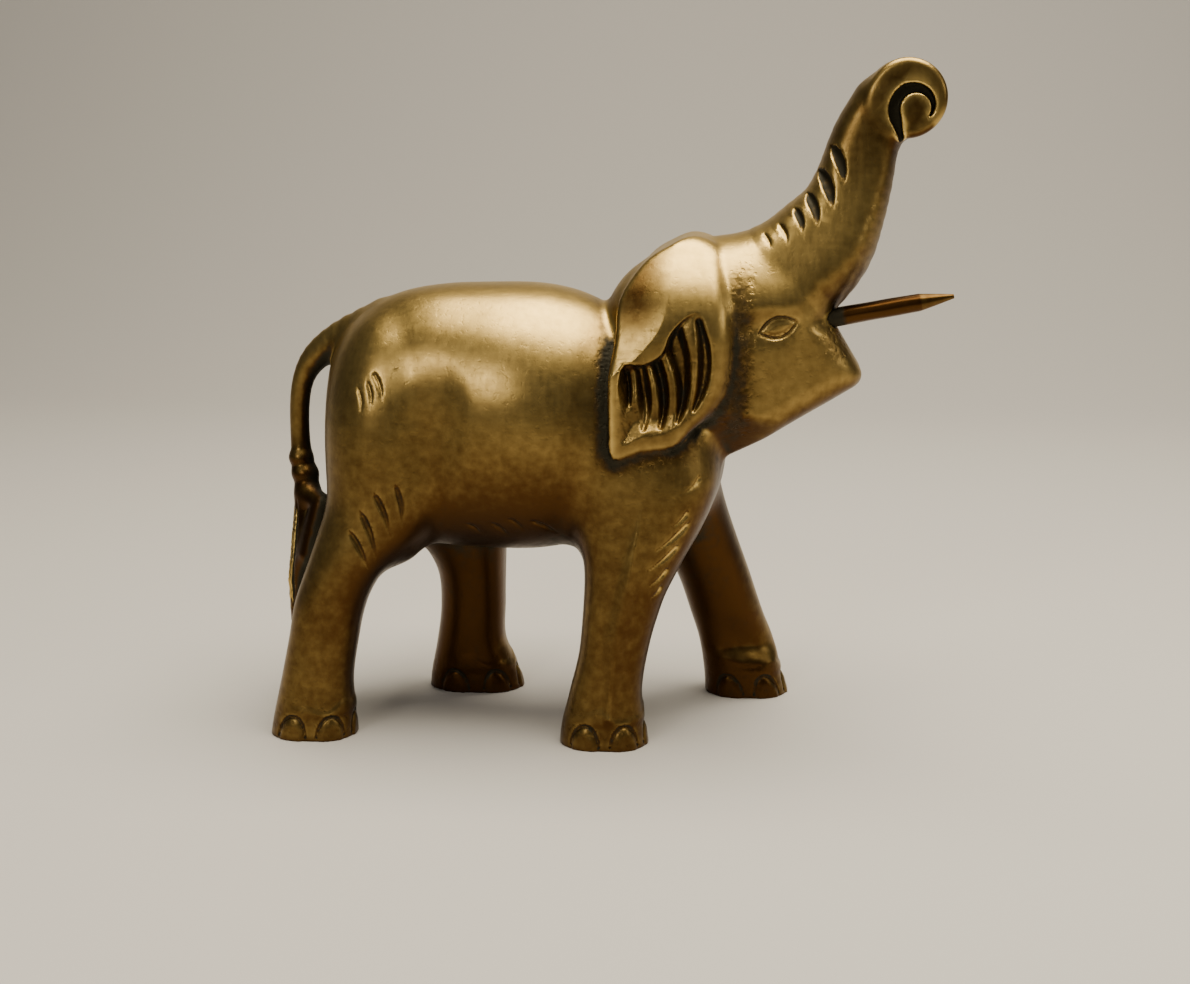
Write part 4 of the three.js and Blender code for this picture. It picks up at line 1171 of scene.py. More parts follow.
class NodeTree:
    """Builds a node tree in few words."""

    def __init__(self, tree: bpy.types.NodeTree) -> None:
        """Keeps the tree that is being built."""
        self.tree = tree

    def add(self, kind: str, inputs: dict | None = None, **settings: object) -> bpy.types.Node:
        """Adds a node.

        Args:
            kind: the node's type name.
            inputs: values or sockets for its inputs, by name or number.
            settings: the node's own properties.

        Returns:
            The new node.
        """
        node = self.tree.nodes.new(kind)
        for name, value in settings.items():
            setattr(node, name, value)
        for name, value in (inputs or {}).items():
            if isinstance(value, bpy.types.NodeSocket):
                self.tree.links.new(value, node.inputs[name])
            else:
                node.inputs[name].default_value = value
        return node

    def math(self, operation: str, *values: object) -> bpy.types.NodeSocket:
        """Adds a math node and gives its result."""
        return self.add("ShaderNodeMath", dict(enumerate(values)), operation=operation).outputs[0]

    def plus(self, a: object, b: object) -> bpy.types.NodeSocket:
        """Adds two values."""
        return self.math("ADD", a, b)

    def minus(self, a: object, b: object) -> bpy.types.NodeSocket:
        """Takes one value from another."""
        return self.math("SUBTRACT", a, b)

    def times(self, a: object, b: object) -> bpy.types.NodeSocket:
        """Multiplies two values."""
        return self.math("MULTIPLY", a, b)

    def range(self, value: bpy.types.NodeSocket, given: Row, to: Row = (0, 1)) -> bpy.types.NodeSocket:
        """Eases a value from one range to another."""
        ends = {"From Min": given[0], "From Max": given[1], "To Min": to[0], "To Max": to[1]}
        node = self.add("ShaderNodeMapRange", {"Value": value, **ends}, interpolation_type="SMOOTHSTEP")
        return node.outputs[0]

    def blend(self, factor: object, a: object, b: object) -> bpy.types.NodeSocket:
        """Mixes two colours."""
        return self.add("ShaderNodeMix", {0: factor, 6: a, 7: b}, data_type="RGBA").outputs[2]

    def noise(
        self, place: object, scale: object, detail: float, seed: float | None = None
    ) -> bpy.types.NodeSocket:
        """Adds a noise texture.

        Args:
            place: where it is read.
            scale: how fine it is.
            detail: how many finer layers it has.
            seed: which of its patterns is used, or the plain one.

        Returns:
            Its value.
        """
        inputs = {"Vector": place, "Scale": scale, "Detail": detail}
        if seed is None:
            return self.add("ShaderNodeTexNoise", inputs).outputs[0]
        return self.add("ShaderNodeTexNoise", {**inputs, "W": seed}, noise_dimensions="4D").outputs[0]

    def stretched(self, place: object, scale: Row) -> bpy.types.NodeSocket:
        """Stretches a place, for a pattern drawn out one way."""
        return self.add("ShaderNodeMapping", {"Vector": place, "Scale": scale}).outputs[0]

    def attribute(self, name: str) -> bpy.types.NodeSocket:
        """Reads a value that the mesh stores, in a shader."""
        return self.add("ShaderNodeAttribute", attribute_name=name).outputs["Fac"]

    def stored(self, name: str) -> bpy.types.NodeSocket:
        """Reads a value that the mesh stores, in a geometry tree."""
        return self.add("GeometryNodeInputNamedAttribute", {"Name": name}, data_type="FLOAT").outputs[0]


class SizedTree:
    """A Geometry Nodes tree with one named input for each of its sizes."""

    name = ""
    sizes: dict[str, float] = {}

    def open(self) -> tuple[NodeTree, bpy.types.NodeOutputs]:
        """Makes the tree and its sockets.

        Returns:
            The tree's builder, and what the tree is given.
        """
        tree = bpy.data.node_groups.new(self.name, "GeometryNodeTree")
        tree.interface.new_socket("Geometry", in_out="INPUT", socket_type="NodeSocketGeometry")
        for name, value in self.sizes.items():
            socket = tree.interface.new_socket(name, in_out="INPUT", socket_type="NodeSocketFloat")
            socket.default_value = value
        tree.interface.new_socket("Geometry", in_out="OUTPUT", socket_type="NodeSocketGeometry")
        nodes = NodeTree(tree)
        return nodes, nodes.add("NodeGroupInput").outputs

    @staticmethod
    def close(
        nodes: NodeTree, result: bpy.types.NodeSocket, material: bpy.types.Material
    ) -> bpy.types.GeometryNodeTree:
        """Ends the tree.

        Args:
            nodes: the tree's builder.
            result: its last geometry.
            material: the finish set on it.

        Returns:
            The finished tree.
        """
        real = nodes.add("GeometryNodeRealizeInstances", {"Geometry": result})
        dressed = nodes.add("GeometryNodeSetMaterial", {"Geometry": real.outputs[0], "Material": material})
        nodes.add("NodeGroupOutput", {"Geometry": dressed.outputs[0]})
        return nodes.tree

    def put_on(self, piece: bpy.types.Object, tree: bpy.types.GeometryNodeTree) -> None:
        """Adds the tree to a piece, with each size set by its socket's identifier.

        Args:
            piece: the piece that gets the tree.
            tree: the tree.
        """
        modifier = piece.modifiers.new(self.name, "NODES")
        modifier.node_group = tree
        for item in tree.interface.items_tree:
            if item.in_out == "INPUT" and item.name in self.sizes:
                modifier[item.identifier] = self.sizes[item.name]


class CastingSkin(SizedTree):
    """Gives the casting its hand-worked waves and its casting pits."""

    name = "casting skin"
    sizes = {"Wave depth": 0.0003, "Wave size": 0.013, "Pit depth": 0.0003, "Pit size": 0.0011}
    seed = 7.0
    wave_detail = 1.0
    pit_detail = 2.0
    pit_range = (0.5, 0.68)

    def build(self, material: bpy.types.Material) -> bpy.types.GeometryNodeTree:
        """Builds the tree.

        Args:
            material: the finish set on the result.

        Returns:
            The tree, with one named input for each size.
        """
        nodes, given = self.open()
        place = nodes.add("GeometryNodeInputPosition").outputs[0]
        wave_scale = nodes.math("DIVIDE", 1.0, given["Wave size"])
        pit_scale = nodes.math("DIVIDE", 1.0, given["Pit size"])
        wave = nodes.noise(place, wave_scale, self.wave_detail, self.seed)
        wave = nodes.times(nodes.minus(wave, 0.5), given["Wave depth"])
        pits = nodes.range(nodes.noise(place, pit_scale, self.pit_detail, self.seed), self.pit_range)
        pits = nodes.times(pits, nodes.times(nodes.stored("pitted"), given["Pit depth"]))
        lift = nodes.times(nodes.minus(wave, pits), nodes.minus(1.0, nodes.stored("still")))
        normal = nodes.add("GeometryNodeInputNormal").outputs[0]
        offset = nodes.add("ShaderNodeVectorMath", {0: normal, "Scale": lift}, operation="SCALE").outputs[0]
        moved = nodes.add("GeometryNodeSetPosition", {"Geometry": given["Geometry"], "Offset": offset})
        return self.close(nodes, moved.outputs[0], material)


@dataclass
class SkinMarks:
    """Where the casting's skin is rough or grooved, and where light and shade are painted on it, place by
    place.
    """

    figure: Figure
    feet_rough: float = 0.22
    feet: Ramp = Ramp(10, 2)
    rim_rough: float = 0.9
    rim_start: Ramp = Ramp(-0.3, 0.4)
    rim_end: Ramp = Ramp(3.4, 0.8)
    rim_height: Ramp = Ramp(70, 62)
    rim_outer: Ramp = Ramp(8, 11)
    hollow_rough: float = 0.3
    hollow: Ramp = Ramp(0.2, -0.6)
    hollow_outer: Ramp = Ramp(6, 9)
    crease_rough: float = 0.8
    crease_line: Sequence[Row] = ((21.9, 73, 0), (22.3, 60, 0), (21.6, 46, 0))
    crease_width: Ramp = Ramp(2.6, 0.5)
    crease_outer: Ramp = Ramp(7, 11)
    mouth_rough: float = 0.6
    mouth: Row = (36.6, 60.2)
    mouth_width: Ramp = Ramp(4.2, 1.6)
    # Painted light on the skin that faces up and lies high, painted shade below it.
    upward_share: float = 0.7
    upward: Ramp = Ramp(-0.9, 0.9)
    high_share: float = 0.3
    high: Ramp = Ramp(20, 64)
    # Painted dark reflection on the ear's upper rear facet.
    facet_painted_dark: float = 0.6
    facet_width: Ramp = Ramp(-0.5, 4)
    facet_height: Ramp = Ramp(59, 67)
    facet_outer: Ramp = Ramp(6, 11)
    facet_edge: Ramp = Ramp(0.5, -0.5)
    # Painted dark reflection on the trunk's upper end.
    trunk_painted_dark: float = 0.25
    trunk_height: Ramp = Ramp(76, 92)
    # Painted shade on the inner sides of the legs, low down.
    inner_painted_shade: float = 0.35
    inner: Ramp = Ramp(13, 6)
    inner_height: Ramp = Ramp(46, 34)
    groove_shelter: float = 0.35
    groove_edge: Ramp = Ramp(0.25, -0.1)
    groove_floor: Row = (0.1, 0.6)
    # Painted light in the ear's hollow, more at its bottom, that takes off some of its patina.
    ear_painted_light: float = 0.2
    low_ear_painted_light: float = 0.35
    low_ear: Ramp = Ramp(60, 50)

    def rough(self, x: Array, side: Array, z: Array) -> Array:
        """Says how rough the casting was left: in the crease, round the ear and about the mouth.

        Args:
            x, side, z: the points, in shares, with side counted out from the middle.

        Returns:
            The roughness, from nought to one.
        """
        ear = self.figure.ear
        rim = polygon(x, z, ear.outline)
        beyond = self.rim_start(rim) * self.rim_end(rim) * self.rim_height(z) * self.rim_outer(side)
        hollow = self.hollow(polygon(x, z, ear.hollow)) * self.hollow_outer(side)
        crease = self.crease_width(chain((x, z), self.crease_line)) * self.crease_outer(side)
        mouth = self.mouth_width(np.hypot(x - self.mouth[0], z - self.mouth[1]))
        rough = np.maximum(self.feet_rough * self.feet(z), self.rim_rough * beyond)
        rough = np.maximum(rough, self.hollow_rough * hollow)
        rough = np.maximum(rough, self.crease_rough * crease)
        return np.maximum(rough, self.mouth_rough * mouth)

    def painted_light(self, x: Array, side: Array, z: Array, up: Array) -> Array:
        """Says how much light is painted on each point: most on the tops and high up, with painted shade low
        down, on the legs' inner sides, at the trunk's end and on the ear's rear facet.

        Args:
            x, side, z: the points, in shares, with side counted out from the middle.
            up: how far the skin faces up, from -1 to 1.

        Returns:
            The painted light, which is low where shade is painted.
        """
        ear = self.figure.ear
        # Painted dark reflection on the ear's upper rear facet.
        facet = self.facet_width(ear.fold_at(z)[0] - x) * self.facet_height(z) * self.facet_outer(side)
        facet = facet * self.facet_edge(polygon(x, z, ear.outline))
        # Painted shade on the legs' inner sides, low down.
        inner = self.inner(side) * self.inner_height(z)
        # Painted light on the tops and high up; painted shade where the skin faces down and lies low.
        painted_light = self.upward_share * self.upward(up) + self.high_share * self.high(z)
        # Painted dark reflections on the ear's rear facet and the trunk's upper end.
        painted_light = painted_light - self.facet_painted_dark * facet - self.trunk_painted_dark * self.trunk_height(z)
        return painted_light - self.inner_painted_shade * inner

    def sheltered(self, x: Array, side: Array, z: Array) -> tuple[Array, Array]:
        """Says how much shelter the curl's groove adds, and what share of it the ear's hollow keeps under
        light painted into the hollow, most at its bottom.

        Args:
            x, side, z: the points, in shares, with side counted out from the middle.

        Returns:
            The shelter added, and the share of the whole that is kept under the painted light.
        """
        trunk = self.figure.trunk
        floor = ease(*(trunk.curl_half_width - depth for depth in self.groove_floor), side)
        groove = self.groove_edge(chain((x, z), trunk.spiral)) * floor * (z > trunk.curl_bottom)
        in_ear = ease(0, -1, polygon(x, z, self.figure.ear.hollow)) * self.hollow_outer(side)
        # Painted light in the ear's hollow, more at its bottom.
        light = self.ear_painted_light + self.low_ear_painted_light * self.low_ear(z)
        return self.groove_shelter * groove, 1 - in_ear * light


@dataclass
class Casting:
    """The brass casting, sampled on a fine grid and turned into one closed mesh."""

    step: float = GRID_STEP / SHARE
    low: Row = (-51, -21, -2.4)
    high: Row = (53, 21, 102.5)
    coarse: int = 4
    band: float = 1.6
    batch: int = 400000
    slope_reach: float = 0.12
    settle_share: float = 0.9
    still: Ramp = Ramp(1.2, 0.3)
    shelter_reaches: Sequence[Row] = ((0.9, 0.34), (2.4, 0.36), (6, 0.3))
    worn_reaches: Sequence[Row] = ((0.5, 0.5), (1.2, 0.5))
    sole: Ramp = Ramp(0.3, 2)
    line_depth: float = 0.3
    triangles: int = CASTING_TRIANGLES
    figure: Figure = field(default_factory=Figure)

    def __post_init__(self) -> None:
        """Reads where the skin is rough or grooved, and where light and shade are painted, off the figure."""
        self.marks = SkinMarks(self.figure)

    def distance(self, points: Array) -> Array:
        """Gives the finished figure's distance, sockets included, in batches.

        Args:
            points: the points, in shares.

        Returns:
            The distance at each point.
        """
        parts = []
        for start in range(0, len(points), self.batch):
            x, y, z = np.ascontiguousarray(points[start : start + self.batch].T)
            d = self.figure.carved(x, y, z)
            mouth = self.figure.face_zone.holds(x, z)
            for seat in TUSK_SEATS:
                socket = chain((x[mouth], y[mouth], z[mouth]), seat.socket())
                d[mouth] = cut(d[mouth], socket, self.figure.line_edge)
            parts.append(d)
        return np.concatenate(parts)

    @staticmethod
    def stretch(values: Array, factor: int, axis: int) -> Array:
        """Fills in values between the samples along one axis.

        Args:
            values: the samples.
            factor: how many steps each gap gets.
            axis: the axis.

        Returns:
            The samples with the new ones between them.
        """
        count = values.shape[axis]
        place = np.arange((count - 1) * factor + 1) / factor
        i = np.minimum(place.astype(int), count - 2)
        shape = [1, 1, 1]
        shape[axis] = -1
        t = (place - i).astype(np.float32).reshape(shape)
        start = np.take(values, i, axis)
        return start + (np.take(values, i + 1, axis) - start) * t

    def sample(self) -> Array:
        """Samples the distance: coarsely everywhere, finely near the skin.

        Returns:
            The distances on the fine grid.
        """
        wide = self.step * self.coarse
        counts = [math.ceil((high - low) / wide) + 1 for low, high in zip(self.low, self.high)]
        axes = [low + wide * np.arange(count) for low, count in zip(self.low, counts)]
        corners = np.stack(np.meshgrid(*axes, indexing="ij"), -1).reshape(-1, 3)
        values = self.distance(corners).astype(np.float32).reshape(counts)
        for axis in range(3):
            values = self.stretch(values, self.coarse, axis)
        near = np.argwhere(np.abs(values) < self.band)
        points = near * self.step + np.array(self.low)
        values[tuple(near.T)] = self.distance(points)
        return np.clip(values, -self.band, self.band)

    def slope(self, points: Array) -> Array:
        """Gives the way out of the skin at each point, one unit long.

        Args:
            points: the points, in shares.

        Returns:
            The ways.
        """
        ways = np.eye(3) * self.slope_reach
        slope = np.stack([self.distance(points + way) - self.distance(points - way) for way in ways], -1)
        return slope / np.maximum(np.linalg.norm(slope, axis=1, keepdims=True), TINY)

    def settle(self, points: Array) -> Array:
        """Moves the points onto the skin."""
        d = np.clip(self.distance(points), -self.step, self.step)
        return points - self.slope(points) * (self.settle_share * d)[:, None]

    def raw_mesh(self) -> bpy.types.Mesh:
        """Makes the closed mesh of the skin, with the marks that its node tree reads.

        Returns:
            The mesh.
        """
        values = self.sample()
        grid = openvdb.FloatGrid(self.band)
        grid.copyFromArray(values)
        points, quads = grid.convertToQuads(0.0)
        points = self.settle(points * self.step + np.array(self.low))
        mesh = bpy.data.meshes.new("elephant")
        mesh.from_pydata(MeshTools.to_frame(points), [], quads.tolist())
        x, y, z = points.T
        MeshTools.keep_value(mesh, "pitted", self.marks.rough(x, np.abs(y), z))
        MeshTools.keep_value(mesh, "still", self.still(z))
        return mesh

    def exposure(self, points: Array, ways: Array) -> tuple[Array, Array]:
        """Says how sheltered and how worn the skin is, from how the distance grows off it and in it.

        Args:
            points: places on the skin.
            ways: the way out at each.

        Returns:
            The shelter and the wear.
        """
        base = self.distance(points)
        shelter, worn = np.zeros(len(points)), np.zeros(len(points))
        for reach, weight in self.shelter_reaches:
            clear = (self.distance(points + ways * reach) - base) / reach
            shelter += weight * np.clip(1 - clear, 0, 1)
        for reach, weight in self.worn_reaches:
            solid = (base - self.distance(points - ways * reach)) / reach
            worn += weight * np.clip(1 - solid, 0, 1)
        return shelter, worn

    def mark(self, mesh: bpy.types.Mesh) -> None:
        """Stores what the finish reads at each point: its shelter, wear, painted light and shade, carving and
        pits.

        Args:
            mesh: the finished mesh.
        """
        points = MeshTools.to_shares(MeshTools.points_of(mesh))
        x, y, z = points.T
        side = np.abs(y)
        ways = self.slope(points)
        shelter, worn = self.exposure(points, ways)
        added, kept = self.marks.sheltered(x, side, z)
        line, tone = self.figure.line_distance(x, y, z)
        depth = np.clip(-self.figure.skin(x, y, z) / self.line_depth, 0, 1)
        MeshTools.keep_value(mesh, "shelter", (shelter + added) * kept)
        MeshTools.keep_value(mesh, "worn", worn * self.sole(z))
        # Painted light on the tops, painted shade low down and on turned-away places.
        MeshTools.keep_value(mesh, "painted_light", self.marks.painted_light(x, side, z, ways[:, 2]))
        MeshTools.keep_value(mesh, "carved", depth * (line < self.line_depth))
        MeshTools.keep_value(mesh, "tone", tone)
        MeshTools.keep_value(mesh, "pitted", self.marks.rough(x, side, z))

    def build(self, material: bpy.types.Material) -> bpy.types.Object:
        """Builds the finished casting.

        Args:
            material: its finish.

        Returns:
            The piece, with a plain mesh.
        """
        piece = MeshTools.add_object("elephant", self.raw_mesh())
        faces = 2 * len(piece.data.polygons)
        skin = CastingSkin()
        skin.put_on(piece, skin.build(material))
        thinner = piece.modifiers.new("thinner", "DECIMATE")
        thinner.ratio = min(1.0, self.triangles / faces)
        MeshTools.apply_modifiers(piece)
        self.mark(piece.data)
        log.info("elephant: %d faces before thinning, %d after", faces, len(piece.data.polygons))
        return piece


class TuskRod(SizedTree):
    """Gives a round rod with a filed point."""

    name = "tusk rod"
    sizes = {
        "Diameter": TUSK_DIAMETER, "Reach": TUSK_REACH, "Point": TUSK_POINT,
        "Tip": TUSK_TIP, "Root": SOCKET_DEPTH - SOCKET_CLEARANCE,
    }
    sides = 40
    steps = 64

    def build(self, material: bpy.types.Material) -> bpy.types.GeometryNodeTree:
        """Builds the tree.

        Args:
            material: the rod's finish.

        Returns:
            The tree, with one named input for each size. The rod stands along +Z on the origin.
        """
        nodes, given = self.open()
        root = nodes.times(given["Root"], -1.0)
        start = nodes.add("ShaderNodeCombineXYZ", {"Z": root}).outputs[0]
        stop = nodes.add("ShaderNodeCombineXYZ", {"Z": given["Reach"]}).outputs[0]
        line = nodes.add("GeometryNodeCurvePrimitiveLine", {"Start": start, "End": stop}).outputs[0]
        line = nodes.add("GeometryNodeResampleCurve", {"Curve": line, "Count": self.steps}).outputs[0]
        place = nodes.add("GeometryNodeInputPosition").outputs[0]
        height = nodes.add("ShaderNodeSeparateXYZ", {0: place}).outputs["Z"]
        filed = nodes.math("DIVIDE", nodes.minus(given["Reach"], height), given["Point"])
        filed = nodes.math("MINIMUM", nodes.math("MAXIMUM", filed, 0.0), 1.0)
        full = nodes.times(given["Diameter"], 0.5)
        tip = nodes.times(given["Tip"], 0.5)
        radius = nodes.plus(tip, nodes.times(nodes.minus(full, tip), filed))
        inputs = {"Geometry": line, "Name": "filed", "Value": nodes.minus(1.0, filed)}
        kept = nodes.add("GeometryNodeStoreNamedAttribute", inputs, data_type="FLOAT", domain="POINT")
        kept = nodes.add("GeometryNodeSetCurveRadius", {"Curve": kept.outputs[0], "Radius": radius})
        ring = nodes.add("GeometryNodeCurvePrimitiveCircle", {"Resolution": self.sides, "Radius": 1.0})
        inputs = {"Curve": kept.outputs[0], "Profile Curve": ring.outputs[0], "Fill Caps": True}
        sweep = nodes.add("GeometryNodeCurveToMesh", inputs)
        if "Scale" in sweep.inputs:
            reach = nodes.add("GeometryNodeInputRadius").outputs[0]
            nodes.tree.links.new(reach, sweep.inputs["Scale"])
        return self.close(nodes, sweep.outputs[0], material)


@dataclass
class Tusk:
    """One filed rod, standing in its socket at the corner of the mouth, all in metres."""

    seat: TuskSeat
    hammer_depth: float = 0.00006
    hammer_turns: tuple[int, int] = (3, 5)
    hammer_twists: Row = (210, -330)
    hammer_start: float = 1
    free: Ramp = Ramp(0.001, 0.004)
    root_shelter: Ramp = Ramp(0.0045, 0.0)
    # An even middle amount of painted light along the rod.
    painted_light: float = 0.5

    def hammer(self, points: Array) -> None:
        """Draws the rod's skin in unevenly, clear of the socket.

        Args:
            points: the standing rod's points, which are moved.
        """
        angle = np.arctan2(points[:, 1], points[:, 0])
        pairs = zip(self.hammer_turns, self.hammer_twists)
        first, second = (turns * angle + twist * points[:, 2] for turns, twist in pairs)
        uneven = np.sin(first + self.hammer_start) * np.sin(second)
        deep = self.hammer_depth / TUSK_DIAMETER * 2 * (uneven + 1)
        points[:, :2] *= (1 - deep * self.free(points[:, 2]))[:, None]

    def seated(self, points: Array) -> Array:
        """Gives the standing rod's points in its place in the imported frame.

        Args:
            points: the standing rod's points.

        Returns:
            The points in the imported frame.
        """
        way = self.seat.way()
        across = np.array((0, 1, 0))
        turned = points[:, :1] * np.cross(across, way) + points[:, 1:2] * across + points[:, 2:] * way
        return turned + self.seat.base() + np.array(FORM_OFFSET)

    def build(self, rod: TuskRod, tree: bpy.types.GeometryNodeTree) -> bpy.types.Object:
        """Builds the rod in its place.

        Args:
            rod: the rod's sizes.
            tree: the rod's node tree.

        Returns:
            The piece, with a plain mesh.
        """
        piece = MeshTools.add_object(f"{self.seat.node}_rod", bpy.data.meshes.new(self.seat.node))
        rod.put_on(piece, tree)
        MeshTools.apply_modifiers(piece)
        mesh = piece.data
        points = MeshTools.points_of(mesh)
        self.hammer(points)
        mesh.vertices.foreach_set("co", self.seated(points).astype(np.float32).ravel())
        mesh.update()
        MeshTools.keep_value(mesh, "shelter", self.root_shelter(points[:, 2]))
        MeshTools.keep_value(mesh, "worn", np.zeros(len(points)))
        MeshTools.keep_value(mesh, "painted_light", np.full(len(points), self.painted_light))
        log.info("%s: %d faces", piece.name, len(mesh.polygons))
        return piece


@dataclass(frozen=True)
class BrassFinish:
    """A brass finish: its three colours, how each reflects and how its marks show."""

    name: str
    bright: Row = (0.8, 0.56, 0.175, 1)
    brown: Row = (0.064, 0.0285, 0.0075, 1)
    dark: Row = (0.026, 0.022, 0.011, 1)
    bright_rough: float = 0.32
    brown_rough: float = 0.36
    dark_rough: float = 0.6
    dark_metal: float = 0.75
    brown_share: float = 0.7
    grit: float = 0.16
    scratches: float = 0.1
    scuff_middle: float = 0.8
    scuff_rough: float = 0.12
    bump_height: float = 0.00012
    bump_strength: float = 0.7
    filled_line: float = 0.7
    cleaned_line: float = 0.4
    cleaned_worn: float = 0.5
    pit_shelter: float = 0.36
    pit_grit: float = 1.8
    filed_mark: bool = False
    filed_edge: Row = (0.0, 0.08)
    filed_worn: Row = (0, 0.3)


@dataclass(frozen=True)
class Ageing:
    """How shelter, wear and the painted light and shade turn brass brown, dark or bright, and its mottle."""

    detail: float = 3.0
    broad_scale: float = 34.0
    broad: float = 0.22
    fine_scale: float = 420.0
    fine: float = 0.2
    base: float = 0.07
    shelter: float = 0.5
    # Painted shade: how far skin without painted light turns brown.
    painted_shade: float = 0.62
    worn: float = 0.5
    brown_range: Row = (-0.3, 0.5)
    dark_fine: float = 0.5
    # Painted shade: how far it darkens too.
    dark_painted_shade: float = 0.3
    dark_worn: float = 0.6
    dark_range: Row = (0.3, 0.72)
    bright_range: Row = (0.3, 0.7)

    def build(self) -> bpy.types.NodeTree:
        """Builds the group that says where the brass is worn bright, and where it is brown or dark from
        patina and painted shade.

        Returns:
            The group.
        """
        inputs = {"Shelter": 0.0, "Worn": 0.0, "Painted light": 0.5, "Brown share": 0.5}
        nodes, given = AgedBrass.group("brass ageing", inputs, ("Brown", "Dark", "Bright"))
        place = nodes.add("ShaderNodeTexCoord").outputs["Object"]
        broad = nodes.noise(place, self.broad_scale, self.detail)
        fine = nodes.noise(place, self.fine_scale, self.detail)
        mottle = nodes.plus(nodes.times(broad, self.broad), nodes.times(fine, self.fine))
        # Painted shade, where no light is painted.
        painted_shade = nodes.minus(1.0, given["Painted light"])
        level = nodes.plus(nodes.plus(mottle, self.base), nodes.times(given["Shelter"], self.shelter))
        level = nodes.plus(level, nodes.times(painted_shade, self.painted_shade))
        level = nodes.minus(level, nodes.times(given["Worn"], self.worn))
        brown = nodes.range(nodes.minus(level, nodes.minus(1.0, given["Brown share"])), self.brown_range)
        speckle = nodes.times(nodes.minus(fine, 0.5), self.dark_fine)
        gathered = nodes.plus(given["Shelter"], speckle)
        gathered = nodes.plus(gathered, nodes.times(painted_shade, self.dark_painted_shade))
        gathered = nodes.minus(gathered, nodes.times(given["Worn"], self.dark_worn))
        dark = nodes.range(gathered, self.dark_range)
        bright = nodes.range(given["Worn"], self.bright_range)
        nodes.add("NodeGroupOutput", {"Brown": brown, "Dark": dark, "Bright": bright})
        return nodes.tree


@dataclass(frozen=True)
class Grit:
    """The casting grain with its small holes, and the brushed scratches."""

    grain_scale: float = 1500.0
    grain_detail: float = 4.0
    grain: float = 0.35
    hole_scale: float = 700.0
    hole_detail: float = 2.0
    hole_range: Row = (0.56, 0.7)
    brushed_scale: Row = (900, 700, 60)
    brushed_detail: float = 3.0
    hatched_scale: Row = (90, 700, 1100)
    hatched_detail: float = 2.0
    hatched: float = 0.6

    def build(self) -> bpy.types.NodeTree:
        """Builds the group that gives the height of the casting grain and the brushed scratches.

        Returns:
            The group.
        """
        nodes, given = AgedBrass.group("brass grit", {"Grit": 0.3, "Scratches": 0.1}, ("Height", "Scuff"))
        place = nodes.add("ShaderNodeTexCoord").outputs["Object"]
        grain = nodes.noise(place, self.grain_scale, self.grain_detail)
        holes = nodes.range(nodes.noise(place, self.hole_scale, self.hole_detail), self.hole_range)
        brushed = nodes.noise(nodes.stretched(place, self.brushed_scale), 1.0, self.brushed_detail)
        hatched = nodes.noise(nodes.stretched(place, self.hatched_scale), 1.0, self.hatched_detail)
        strokes = nodes.plus(brushed, nodes.times(hatched, self.hatched))
        pits = nodes.minus(nodes.times(grain, self.grain), holes)
        height = nodes.plus(nodes.times(pits, given["Grit"]), nodes.times(strokes, given["Scratches"]))
        nodes.add("NodeGroupOutput", {"Height": height, "Scuff": strokes})
        return nodes.tree


